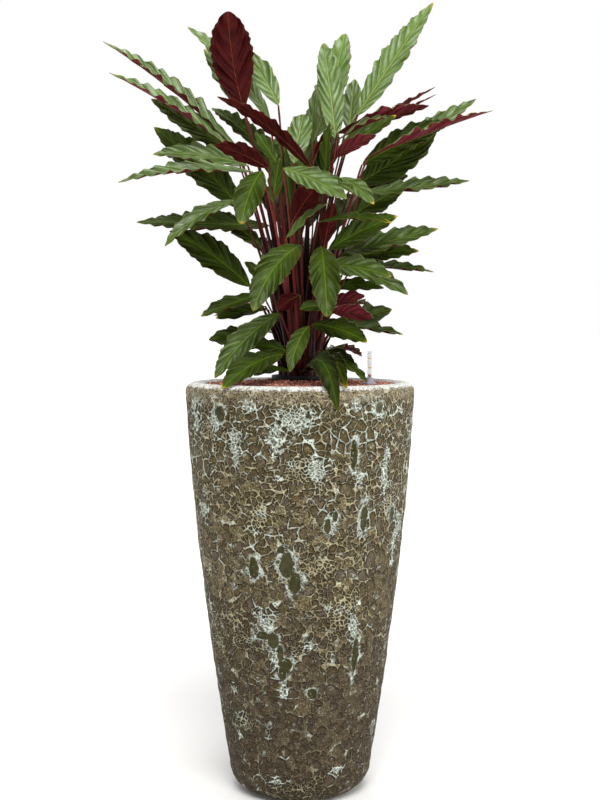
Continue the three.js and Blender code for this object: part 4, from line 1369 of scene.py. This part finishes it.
@dataclass
class Granules:
    """The loose top layer of lava granules between the nursery pot and the planter's wall."""

    wall_radius: float = 157.45
    outer: float = 155.5
    inner: float = 49.5
    edge_height: float = 677.0
    heap_height: float = 684.0
    heap_radius: float = 50.0
    pitch: float = 4.7
    size: float = 2.6
    gauge: tuple[float, float] = (113.8, -40.0)
    gauge_clear: float = 13.5
    steps: int = 40
    shake: float = 1.4
    jagged: float = 0.22
    seed: int = 11

    def heap(self, radius: Array) -> Array:
        """Height of the fill: edge + (heap - edge) t^2, with t from 0 at the wall to 1 at the nursery pot."""
        t = (self.wall_radius - radius) / (self.wall_radius - self.heap_radius)
        return self.edge_height + (self.heap_height - self.edge_height) * np.clip(t * t, 0, 1)

    def build(self) -> None:
        """Sets grains on a shaken triangular grid, and dresses the bed below them."""
        random = np.random.default_rng(self.seed)
        steps = np.arange(-self.steps, self.steps + 1)
        rows, columns = np.meshgrid(steps, steps, indexing="ij")
        x = self.pitch * (columns + 0.5 * (rows % 2)).ravel()
        y = self.pitch * math.sqrt(0.75) * rows.ravel()
        x = x + random.uniform(-self.shake, self.shake, len(x))
        y = y + random.uniform(-self.shake, self.shake, len(y))
        radius = np.hypot(x, y)
        clear = np.hypot(x - self.gauge[0], y - self.gauge[1]) > self.gauge_clear
        kept = (radius < self.outer) & (radius > self.inner) & clear
        x, y, radius = x[kept], y[kept], radius[kept]
        z = self.heap(radius) + random.uniform(-0.6, 1.6, len(x))
        radii = self.size * random.uniform(0.75, 1.25, (len(x), 3))
        grains = chips(np.stack([x, y, z], axis=-1), radii, self.jagged, self.seed + 1)
        grains.piece("lava_granules", Body.STILL, Slot.LAVA, [LavaStone().material()])
        dress("lava_fill", LavaBed().material())


def dress(node: str, material: bpy.types.Material) -> None:
    """Gives a CAD node that stays in view its finish.

    Args:
        node: Name of the node.
        material: What it wears.
    """
    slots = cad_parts[node].material_slots
    for slot in slots:
        slot.material = material
    if not slots:
        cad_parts[node].data.materials.append(material)
    log.info("%s: dressed in %s", node, material.name)


@dataclass
class NurseryPot:
    """The black pot that the plant grows in, with a rolled lip, and the compost in it."""

    floor: float = 585.0
    foot: float = 37.0
    neck: float = 44.5
    lip: float = 47.5
    lip_height: float = 9.5
    top: float = 694.0
    wall: float = 1.6
    soil_top: float = 690.4
    crumbs: int = 620
    jagged: float = 0.3
    columns: int = 72
    seed: int = 31

    def build(self) -> None:
        """Makes the pot as one turned wall with a rounded lip, and lays crumbs on the compost."""
        lip = [
            (self.foot, self.floor), (self.neck, self.top - self.lip_height),
            (self.lip - 0.4, self.top - self.lip_height), (self.lip, self.top - self.lip_height + 0.4),
            (self.lip, self.top - 1), (self.lip - 1, self.top), (self.neck - self.wall + 1, self.top),
            (self.neck - self.wall + 0.1, self.top - 1), (self.neck - self.wall, self.top - 4),
            (self.foot - self.wall, self.floor + self.wall),
        ]
        profile = np.array([(0, self.floor), *lip, (0, self.floor + self.wall)], float)
        plastic = BlackPolypropylene().material()
        pot = turned_profile(profile, self.columns)
        pot.piece("black_nursery_pot", Body.STILL, Slot.BLACK_PLASTIC, [plastic], ("nursery_pot",))
        random = np.random.default_rng(self.seed)
        radius = (self.neck - self.wall - 2.2) * np.sqrt(random.uniform(0, 1, self.crumbs))
        turn = random.uniform(0, 2 * math.pi, self.crumbs)
        height = self.soil_top + random.uniform(-0.6, 0.8, self.crumbs)
        centres = np.stack([radius * np.sin(turn), radius * np.cos(turn), height], axis=-1)
        soil = PottingCompost().material()
        radii = random.uniform(0.8, 2.0, (self.crumbs, 3))
        crumbs = chips(centres, radii, self.jagged, self.seed + 1)
        crumbs.piece("compost_crumbs", Body.STILL, Slot.SOIL, [soil])
        dress("potting_soil", soil)


# Water gauge


@dataclass
class Gauge:
    """The water gauge: a clear tube that stands in a lilac-grey collar, two level marks, and its float."""

    x: float = 113.8
    y: float = -40.0
    radius: float = 4.5
    bore: float = 3.3
    bottom: float = 240.0
    top: float = 734.5
    collar_radius: float = 12.2
    collar_neck: float = 5.6
    collar_bottom: float = 679.8
    collar_height: float = 11.5
    collar_brim: float = 2.0
    float_radius: float = 2.7
    float_length: float = 42.0
    rod: float = 0.9
    ball_height: float = 694.2
    mark_heights: tuple[float, float] = (707.8, 723.0)
    mark_height: float = 1.5
    broken_edge: float = 0.3
    tube_columns: int = 40
    collar_columns: int = 48
    float_columns: int = 32

    def tube(self) -> Surface:
        """An open tube with its edges broken.

        Returns:
            The surface.
        """
        r, b, low, high, e = self.radius, self.bore, self.bottom, self.top, self.broken_edge
        section = np.array([
            (b, low), (r - e, low), (r, low + e), (r, high - e), (r - e, high), (b + e, high), (b, high - e)
        ])
        return turned_ring(section, self.tube_columns, (self.x, self.y))

    def collar(self) -> Surface:
        """A flat brim that sweeps up to a neck round the tube.

        Returns:
            The surface.
        """
        hole, base = self.radius + 0.35, self.collar_bottom
        top = base + self.collar_height
        t = np.linspace(0, 1, 9)
        sweep_r = self.collar_radius - 1 + (self.collar_neck - self.collar_radius + 1) * t**0.7
        sweep_z = base + self.collar_brim + (self.collar_height - self.collar_brim - 1.5) * t**1.6
        section = np.concatenate([
            [(hole, base), (self.collar_radius - 0.4, base), (self.collar_radius, base + 0.4)],
            [(self.collar_radius, base + self.collar_brim - 0.4)],
            np.stack([sweep_r, sweep_z], axis=-1),
            [(self.collar_neck, top - 0.4), (self.collar_neck - 0.4, top), (hole, top)],
        ])
        return turned_ring(section, self.collar_columns, (self.x, self.y))

    def float_body(self) -> Surface:
        """A stem float, its thin rod and the red ball that shows the level.

        Returns:
            The surface.
        """
        low, ball = self.bottom, self.float_radius
        arc = np.linspace(-math.pi / 2, math.pi / 2, 13)
        knob = np.stack([ball * np.cos(arc), self.ball_height + ball * np.sin(arc)], axis=-1)
        top = low + self.float_length
        profile = np.concatenate([
            [(0, low), (ball - 0.5, low), (ball, low + 0.5), (ball, top), (self.rod, top + 2)],
            [(self.rod, self.ball_height - 0.93 * ball)],
            knob[1:-1][knob[1:-1, 1] > self.ball_height - 0.9 * ball],
            [(0, self.ball_height + ball)],
        ])
        return turned_profile(profile, self.float_columns, (self.x, self.y))

    def marks(self) -> Surface:
        """Two narrow bands on the side of the tube that faces the front, 0.15 mm proud.

        Returns:
            Both bands as one surface.
        """
        bands = []
        for height in self.mark_heights:
            turn = np.radians(np.linspace(-38, 38, 13))
            r = self.radius + np.array([0.02, 0.15, 0.15, 0.02])
            z = height + self.mark_height * np.array([-0.5, -0.5, 0.5, 0.5])
            points = np.stack([
                self.x + r[:, None] * np.sin(turn), self.y - r[:, None] * np.cos(turn), z[:, None] + 0 * turn
            ], axis=-1).reshape(-1, 3)
            n = len(turn)
            sides = grid_faces(5, n) % len(points)
            ends = np.array([(0, 3 * n, 2 * n, n), (n - 1, 2 * n - 1, 3 * n - 1, 4 * n - 1)])
            bands.append(Surface(points, np.concatenate([sides, ends])))
        return Surface.joined(bands)

    def build(self) -> None:
        """Makes the gauge's pieces."""
        clear = ClearAcrylic().material()
        self.tube().piece("gauge_clear_tube", Body.STILL, Slot.CLEAR_PLASTIC, [clear], ("gauge_tube",))
        lilac = MouldedPolystyrene("lilac_grey_polystyrene", "#84818f", "#a3a1ae").material()
        self.collar().piece("gauge_foot_collar", Body.STILL, Slot.LILAC_PLASTIC, [lilac], ("gauge_collar",))
        red = MouldedPolystyrene("red_polystyrene", "#b51f1a", "#cc4a3a", 0.3).material()
        self.float_body().piece("gauge_red_float", Body.FLOAT, Slot.RED_PLASTIC, [red], ("gauge_float",))
        yellow = MouldedPolystyrene("yellow_marking_ink", "#d9b52a", "#e6cf6a", 0.5).material()
        self.marks().piece("gauge_level_marks", Body.STILL, Slot.CLEAR_PLASTIC, [yellow])


# Plant

# Places of the points across a blade, as shares of its half width.
BLADE_COLUMNS = np.array([0, 0.06, 0.18, 0.34, 0.52, 0.7, 0.86, 0.96, 1])


@dataclass
class Leaf:
    """One leaf: a folded, waved blade on a slender stalk.

    Attributes:
        label: Name of the leaf.
        base: Where the blade meets the stalk.
        tip: The blade's tip.
        arch: How far the midrib's middle stands over the straight line, as a share of the length.
        width: Full width at the widest place.
        upper: The way that the upper side faces.
        fold: Degrees that each half is folded up.
        twist: Degrees that the blade turns along its length.
    """

    label: str
    base: Array
    tip: Array
    arch: float
    width: float
    upper: Array
    fold: float
    twist: float
    widest: float = 0.43
    base_power: float = 0.62
    tip_power: float = 0.82
    end: float = 1.2
    tip_end: float = 0.45
    outline_slant: float = 0.8
    coarse_wave: float = 22.0
    coarse_ripple: float = 0.07
    fine_wave: float = 25.0
    fine_ripple: float = 0.16
    vein_lean: float = 2.5
    vein_step: float = 8.0
    fade: float = 5.0
    thickness: float = 0.75
    margin_thickness: float = 0.45
    sheath: float = 5.2
    stalk_root: float = 1.9
    stalk_tip: float = 1.35
    rib: float = 0.8
    row_step: float = 2.7
    rows_allowed: tuple[int, int] = (34, 76)
    waves_allowed: tuple[int, int] = (5, 11)
    stalk_columns: int = 10

    def __post_init__(self) -> None:
        """Works out the midrib's crest and the draws that are the leaf's own."""
        chord = self.tip - self.base
        self.length = float(np.linalg.norm(chord))
        along = chord / self.length
        rise = unit(UP - along * along[2])
        self.crest = (self.base + self.tip) / 2 + rise * 2 * self.arch * self.length
        self.stations = int(np.clip(math.floor(self.length / self.coarse_wave + 0.5), *self.waves_allowed))
        draw = Draw(1 + sum(ord(letter) * 31**i for i, letter in enumerate(self.label)) % 99991)
        self.phases = (2 * math.pi * draw.share(), 2 * math.pi * draw.share())
        self.own = (draw.jitter(1), draw.share(), draw.share())
        self.tone = TONES.get(self.label, -0.35 + 0.25 * self.own[0])
        if self.label in BLUNT_LEAVES:
            self.widest, self.base_power, self.tip_power = BLUNT_LEAVES[self.label]
        self.ripeness = RIPE_TIPS.get(self.label, 0.15 * self.own[1])

    def midrib(self, s: Array) -> Array:
        """Quadratic curve base (1-s)^2 + crest 2s(1-s) + tip s^2."""
        t = s[..., None]
        return self.base * (1 - t) ** 2 + self.crest * 2 * t * (1 - t) + self.tip * t**2

    def directions(self, s: Array) -> tuple[Array, Array, Array]:
        """Which way the blade lies.

        Args:
            s: Shares of the midrib's length.

        Returns:
            Unit vectors along the midrib, out of the upper side, and across.
        """
        t = s[..., None]
        along = unit((self.crest - self.base) * (1 - t) + (self.tip - self.crest) * t)
        upper = unit(self.upper - along * dot(self.upper, along))
        upper = turned_about(upper, along, -math.radians(self.twist) * (s - 0.5))
        return along, upper, np.cross(along, upper)

    def half_width(self, s: Array) -> Array:
        """Half the blade's width at shares s of the midrib.

        The margin's point for q lies at s = q + slant h / length (1 - q) and h off the midrib, with
        h = end + (width / 2 - end) (q/w)^a ((1-q)/(1-w))^b and w the widest place.

        Args:
            s: Shares of the midrib's length.

        Returns:
            Half widths in mm.
        """
        q = np.linspace(0, 1, 241)
        profile = (q / self.widest) ** self.base_power * ((1 - q) / (1 - self.widest)) ** self.tip_power
        half = self.end + (self.tip_end - self.end) * q + (self.width / 2 - self.end) * profile
        return np.interp(s, np.minimum(1, q + self.outline_slant * half / self.length * (1 - q)), half)

    def vein_run(self, q: Array) -> Array:
        """How far side veins lean forward by the margin, lean h / length (1 - q)^0.5, as a share."""
        return self.vein_lean * self.half_width(q) / self.length * (1 - q) ** 0.5

    def vein_place(self, q: Array) -> Array:
        """Where along the blade a side vein counts: 0.35 of where it starts and 0.65 of where it ends."""
        return q + 0.65 * np.minimum(self.vein_run(q), 1 - q)

    def sheet(self, q: Array, v: Array) -> tuple[Array, Array, Array]:
        """The blade's middle layer.

        q is where a side vein leaves the midrib and v runs from -1 to 1 across. A side vein leans forward,
        so its point lies at s = q + run |v|^1.2. It rises by the fold, by the long wave cos(pi n q) and by
        ripples along the side veins, cos t and cos 2.3t, all growing to the margin.

        Args:
            q: Shares along the blade.
            v: Shares across, of the same shape.

        Returns:
            Points, upper directions, and half widths.
        """
        reach = np.abs(v)
        s = np.minimum(1, q + self.vein_run(q) * reach**1.2)
        half = self.half_width(s)
        _, upper, across = self.directions(s)
        fade = np.minimum(1, np.minimum(self.fade * q, self.fade * (1 - q)))
        side = np.where(v < 0, -1.0, 1.0)
        long_wave = self.coarse_ripple * half * np.cos(math.pi * self.stations * q) * side
        ripples = round(self.length / self.fine_wave)
        phase = np.where(v < 0, self.phases[0], self.phases[1])
        turn = 2 * math.pi * ripples * self.vein_place(q) + phase
        swell = 1 + 0.3 * np.cos(0.37 * turn + 2 * phase)
        ripple = self.fine_ripple * half * (swell * np.cos(turn) + 0.2 * np.cos(2.3 * turn + phase))
        fold = math.radians(self.fold)
        rise = half * reach * math.sin(fold) * fade + fade * (long_wave * reach**1.3 + ripple * reach**1.1)
        scallop = 1 + (0.03 * np.cos(turn + 1.2) + 0.05 * np.cos(2.3 * turn + phase)) * reach**3 * fade
        out = half * v * math.cos(fold) * scallop
        at = self.midrib(s) + across * out[..., None] + upper * rise[..., None]
        return at, upper, half

    def blade(self) -> Surface:
        """Upper and under side in rings round the blade, grooved along the midrib and closed at both ends.

        Returns:
            The surface, with the marks that the blade's finishes read.
        """
        shares = np.concatenate([-BLADE_COLUMNS[:0:-1], BLADE_COLUMNS])
        rows = int(np.clip(round(self.length / self.row_step), *self.rows_allowed))
        q, v = np.meshgrid(np.linspace(0, 1, rows), shares, indexing="ij")
        at, upper, half = self.sheet(q, v)
        thick = self.margin_thickness + (self.thickness - self.margin_thickness) * (1 - np.abs(v))
        top = at + upper * (thick / 2)[..., None]
        groove = 0.25 * (np.abs(v) < 0.03) * np.minimum(1, 6 * (1 - q))
        top = top - upper * groove[..., None]
        bottom = at - upper * (thick / 2)[..., None]
        ring = np.concatenate([top, bottom[:, ::-1]], axis=1)
        both_v = np.concatenate([v, v[:, ::-1]], axis=1)
        both_q = np.concatenate([q, q], axis=1)
        both_half = np.concatenate([half, half], axis=1)
        columns, count = 2 * len(shares), len(shares)
        faces = grid_faces(rows, columns, wrap=True)
        column = np.tile(np.arange(columns), rows - 1)
        skins = np.where(column < count, Skin.UPPER, Skin.UNDER)
        j = np.arange(count - 1)
        start = np.stack([j + 1, j, columns - 1 - j, columns - 2 - j], axis=-1)
        end = start[:, ::-1] + (rows - 1) * columns
        caps = np.full(2 * len(j), Skin.UPPER)
        reach = np.abs(both_v) * both_half
        veins = self.vein_place(both_q) * self.length + np.where(both_v < 0, 0.0, self.vein_step)
        blade_mm = np.stack([veins, reach, both_half - reach], axis=-1).reshape(-1, 3)
        leaf_marks = np.stack([
            both_q, np.full_like(both_q, self.tone), np.full_like(both_q, self.ripeness)
        ], axis=-1).reshape(-1, 3)
        return Surface(
            ring.reshape(-1, 3),
            np.concatenate([faces, start, end]),
            np.concatenate([skins, caps]),
            {"blade_mm": blade_mm, "leaf_marks": leaf_marks},
        )

    def stalk(self, foot: Array) -> Surface:
        """The stalk and the rib that it turns into, as one round tube closed at both ends.

        The stalk is the cubic curve from the foot to the blade's base with handles at (0.12, 0.4) and
        (0.62, 0.75) of the way out and up. The rib follows the midrib's under side.

        Args:
            foot: Where the stalk leaves the crown.

        Returns:
            The tube.
        """
        way = self.base - foot
        low = foot + way * np.array([0.12, 0.12, 0.4])
        high = foot + way * np.array([0.62, 0.62, 0.75])
        t = np.linspace(0, 1, 22)[:, None]
        u = 1 - t
        curve = foot * u**3 + low * 3 * t * u**2 + high * 3 * t**2 * u + self.base * t**3
        heading = unit((low - foot) * u**2 + (high - low) * 2 * t * u + (self.base - high) * t**2)
        flat = unit(np.array([way[1], -way[0], 1e-9]))
        level = np.cross(heading, flat)
        s = np.linspace(0.012, 0.86, 16)
        along, upper, across = self.directions(s)
        joint = across[0] - heading[-1] * np.dot(across[0], heading[-1])
        turn = math.atan2(np.dot(joint, level[-1]), np.dot(joint, flat))
        first = flat * math.cos(turn) + level * math.sin(turn)
        sideways = np.concatenate([first, across])
        outward = np.cross(np.concatenate([heading, along]), sideways)

        share = t[:, 0]
        narrow = self.stalk_root + (self.stalk_tip - self.stalk_root) * share
        sheath = (self.sheath - self.stalk_root) * (1 - smooth_step(0.08, 0.78, share))
        joint_swell = 0.45 * np.exp(-(((share - 0.955) / 0.035) ** 2))
        rib_radius = self.rib * (1 - smooth_step(0.0, 0.86, s)) + 0.12
        radius = np.concatenate([narrow + sheath + joint_swell, rib_radius])
        under = -upper * (self.thickness / 2 + 0.35 * rib_radius[:, None])
        middle = np.concatenate([curve, self.midrib(s) + under])
        flatness = np.append(0.3 * (1 - smooth_step(0.35, 0.85, share)), np.zeros(len(s)))
        wide, deep = radius * (1 + flatness), radius * (1 - flatness)
        angle = np.linspace(0, 2 * math.pi, self.stalk_columns, endpoint=False)
        ring = middle[:, None] + (
            (wide[:, None] * np.cos(angle))[..., None] * sideways[:, None]
            + (deep[:, None] * np.sin(angle))[..., None] * outward[:, None]
        )
        rows, columns = ring.shape[:2]
        points = np.concatenate([ring.reshape(-1, 3), middle[:1], middle[-1:]])
        faces = np.concatenate([
            grid_faces(rows, columns, wrap=True),
            fan_faces(columns, rows * columns, 0, flip=True),
            fan_faces(columns, rows * columns + 1, (rows - 1) * columns),
        ])
        run = np.concatenate([[0], np.cumsum(np.linalg.norm(np.diff(middle, axis=0), axis=1))])
        full_share = np.minimum(1, np.concatenate([share, 1 + s]))
        shares = np.append(np.repeat(full_share, columns), [0, 1])
        lengths = np.append(np.repeat(run, columns), [0, run[-1]])
        rounds = np.append(np.tile(angle, rows), [0, 0])
        tone, green = np.full_like(shares, self.own[0]), np.full_like(shares, self.own[2])
        marks = {
            "blade_mm": np.stack([lengths, rounds, 0 * rounds], axis=-1),
            "leaf_marks": np.stack([shares, tone, green], axis=-1),
        }
        return Surface(points, faces, np.full(len(faces), Skin.STALK), marks)


@dataclass
class Plant:
    """The calathea: twelve shoots in the nursery pot, each with its crown and its leaves."""

    shoots: int = 12
    most_leaves: int = 10
    crown_radius: float = 34.0
    crown_lean: float = 0.5
    stalk_start: float = 704.0
    stalk_spread: float = 4.5
    crown_bottom: float = 664.0
    crown_top: float = 709.0
    crown_width: float = 8.6
    crown_columns: int = 18

    def from_elevation(self, place: tuple[float, float, float]) -> Array:
        """Takes a place off the front elevation.

        Args:
            place: How far right, how far above the rim and how deep it lies.

        Returns:
            The point that the eye sees there.
        """
        right, above, depth = place
        h = above + RIM_ON_DRAWING
        c, s = math.cos(PITCH), math.sin(PITCH)
        k = (depth - EYE[1]) / (h * s - EYE[1] * c)
        return np.array([k * right, depth, EYE[2] + k * (h * c + EYE[1] * s)])

    def front_leaves(self) -> list[Leaf]:
        """The leaves that show from the front, each rolled up from facing it by its own angle.

        Returns:
            The leaves, in the order of their rows.
        """
        made = []
        for label, base, tip, arch, width, face, fold, twist in FRONT_LEAVES:
            foot, end = self.from_elevation(base), self.from_elevation(tip)
            along = unit(end - foot)
            front = unit(TOWARDS_VIEWER - along * np.dot(along, TOWARDS_VIEWER))
            side = np.cross(front, along) * (1 if along[0] >= 0 else -1)
            upper = math.cos(math.radians(face)) * front + math.sin(math.radians(face)) * side
            made.append(Leaf(label, foot, end, arch, width, upper, fold, twist))
        return made

    def back_leaves(self) -> list[Leaf]:
        """The leaves of the far side, by rule.

        Returns:
            The leaves, in tiers from the lowest.
        """
        draw, made = Draw(BACK_SEED), []
        for tier, (count, spread, out, base, length, rise, width) in enumerate(BACK_TIERS):
            for i in range(count):
                share = (i + BACK_SHIFT[tier % 2]) / count
                turn = math.radians(90 + spread * (2 * share - 1) + draw.jitter(BACK_JITTER["turn"]))
                climb = math.radians(rise + draw.jitter(BACK_JITTER["climb"]))
                outward = np.array([math.cos(turn), math.sin(turn), 0.0])
                foot = outward * (out + draw.jitter(BACK_JITTER["out"]))
                foot[2] = base + (BACK_STAGGER if i % 2 else -BACK_STAGGER)
                tip = foot + length * (outward * math.cos(climb) + UP * math.sin(climb))
                twist = draw.jitter(BACK_JITTER["twist"])
                made.append(Leaf(f"back{tier}{i}", foot, tip, BACK_ARCH, width, UP, BACK_FOLD, twist))
        return made

    def roots(self) -> list[Array]:
        """Where the shoots stand: a sunflower spiral, r = R sqrt((i + 0.5) / n), turned by the golden angle.

        Returns:
            One point for each shoot.
        """
        places = []
        for i in range(self.shoots):
            r = self.crown_radius * math.sqrt((i + 0.5) / self.shoots)
            turn = i * math.pi * (3 - math.sqrt(5))
            places.append(np.array([r * math.cos(turn), r * math.sin(turn), self.stalk_start]))
        return places

    def shares(self, roots: list[Array]) -> list[list[Leaf]]:
        """Gives each leaf to the nearest shoot that has room: the wider a leaf leans, the further out.

        Args:
            roots: Where the shoots stand.

        Returns:
            The leaves of each shoot.
        """
        shares: list[list[Leaf]] = [[] for _ in roots]
        for leaf in [*self.front_leaves(), *self.back_leaves()]:
            reach = float(np.hypot(*leaf.base[:2]))
            lean = math.atan2(reach, leaf.base[2] - self.stalk_start)
            goal = leaf.base[:2] / reach * self.crown_radius * min(1, lean / self.crown_lean)
            free = [i for i in range(len(roots)) if len(shares[i]) < self.most_leaves]
            nearest = min(free, key=lambda i: float(np.hypot(*(roots[i][:2] - goal))))
            shares[nearest].append(leaf)
        return shares

    def crown(self, root: Array) -> Surface:
        """The shoot's foot: a short stem with a domed top that the sheaths come out of.

        Args:
            root: Where the shoot stands.

        Returns:
            The surface.
        """
        t = np.linspace(0, 1, 9)
        stem = self.crown_width - 0.3
        dome_r = stem * np.cos(t * math.pi / 2)
        dome_z = self.stalk_start - 4 + (self.crown_top - self.stalk_start + 4) * np.sin(t * math.pi / 2)
        profile = np.concatenate([
            [(0, self.crown_bottom), (self.crown_width - 1, self.crown_bottom)],
            [(stem, self.crown_bottom + 2), (stem, self.stalk_start - 10)],
            np.stack([dome_r, dome_z], axis=-1)[:-1],
            [(0, self.crown_top)],
        ])
        made = turned_profile(profile, self.crown_columns, (root[0], root[1]))
        made.skins[:] = Skin.STALK
        count = len(made.points)
        made.marks = {
            "blade_mm": np.stack([made.points[:, 2], np.zeros(count), np.zeros(count)], axis=-1),
            "leaf_marks": np.tile([0.12, 0.0, 0.0], (count, 1)),
        }
        return made

    def footings(self, root: Array, leaves: list[Leaf]) -> list[tuple[Leaf, Array]]:
        """Sets the stalks' feet side by side round the shoot.

        Args:
            root: Where the shoot stands.
            leaves: Its leaves.

        Returns:
            Each leaf with its stalk's foot, in the order in which the leaves leave the shoot.
        """
        ordered = sorted(leaves, key=lambda leaf: math.atan2(*(leaf.base[:2] - root[:2])[::-1]))
        turns = ((2 * np.arange(len(ordered)) + 1) / len(ordered) - 1) * math.pi
        offsets = self.stalk_spread * np.stack([np.cos(turns), np.sin(turns), 0 * turns], axis=-1)
        return [(leaf, root + offset) for leaf, offset in zip(ordered, offsets)]

    def build(self) -> None:
        """Makes one piece for each shoot."""
        skins = [BladeUpper().material(), BladeUnderside().material(), Petiole().material()]
        roots = self.roots()
        for number, (root, leaves) in enumerate(zip(roots, self.shares(roots)), start=1):
            parts = [self.crown(root)]
            for leaf, foot in self.footings(root, leaves):
                parts += [leaf.stalk(foot), leaf.blade()]
            name = f"shoot_{number:02d}"
            Surface.joined(parts).piece(f"leafy_{name}", Body.STILL, Slot.FOLIAGE, skins, (name,))


# Studio


@dataclass
class Studio:
    """A pale floor, soft light from above, the right and behind, and the camera at the photograph's angle."""

    focal_px: float = 1321.0
    image_height_px: float = 800.0
    sensor: float = 36.0
    floor_radius: float = 60000.0
    floor_top: float = -0.2
    floor_bottom: float = -60.0
    floor_columns: int = 96
    horizon: float = 1.0
    zenith: float = 0.3
    band: tuple[float, float] = (0.26, 0.5)
    viewer_band: tuple[float, float] = (-0.5, 0.3)
    viewer_side: float = 0.8

    def sun(self, name: str, source: tuple[float, float, float], power: float, spread: float) -> None:
        """A large distant lamp.

        Args:
            name: Name of the lamp.
            source: The way that its light comes from.
            power: Its strength in watts per square metre.
            spread: How wide it looks from the plant, in degrees, which softens its shadows.
        """
        light = bpy.data.lights.new(name, "SUN")
        light.energy, light.angle = power, math.radians(spread)
        lamp = placed(name, light)
        lamp.rotation_mode = "QUATERNION"
        lamp.rotation_quaternion = Vector(source).to_track_quat("Z", "Y")

    def sky(self) -> bpy.types.World:
        """A white sky, bright as far up as the camera looks, dimmer above and on the viewer's side.

        Returns:
            The world.
        """
        world = bpy.data.worlds.new("studio_sky")
        world.use_nodes = True
        sky = Nodes(world.node_tree)
        _, depth, height = sky.add("SeparateXYZ", sky.add("TexCoord", output="Object")).node.outputs
        by_height = sky.add("MapRange", height, *self.band, self.horizon, self.zenith)
        by_depth = sky.add("MapRange", depth, *self.viewer_band, self.viewer_side, 1.0)
        background = next(node for node in sky.tree.nodes if node.type == "BACKGROUND")
        sky.fill(background.inputs["Color"], "#ffffff")
        sky.fill(background.inputs["Strength"], sky.add("Math", by_height, by_depth, operation="MULTIPLY"))
        return world

    def build(self) -> None:
        """Lays the floor, hangs the lamps, sets the sky and stands the camera."""
        r, low, high = self.floor_radius, self.floor_bottom, self.floor_top
        disc = turned_profile(np.array([(0, low), (r, low), (r, high), (0, high)]), self.floor_columns)
        mesh = disc.mesh("studio_floor", smooth=False)
        mesh.materials.append(PaintedFloor().material())
        floor = placed("studio_floor", mesh)

        self.sun("key_light", (0.1, -1.4, 2.0), 2.5, 32)
        self.sun("side_light", (1.6, -0.3, 0.7), 1.3, 50)
        self.sun("back_light", (-0.5, 1.5, 1.1), 1.0, 60)

        scene = bpy.context.scene
        scene.world = self.sky()
        scene.view_settings.view_transform = "Standard"

        camera = bpy.data.cameras.new("front_camera")
        camera.sensor_width = self.sensor
        camera.lens = self.sensor * self.focal_px / self.image_height_px
        camera.clip_end = 200
        stand = placed("front_camera", camera)
        stand.location = EYE * MM
        stand.rotation_euler = (math.pi / 2 - PITCH, 0, 0)
        scene.camera = stand


def main() -> None:
    """Builds the studio and each part of the object in order."""
    logging.basicConfig(level=logging.INFO, format="%(message)s")
    Studio().build()
    Planter().build()
    Granules().build()
    NurseryPot().build()
    Gauge().build()
    Plant().build()


if __name__ == "__main__":
    main()
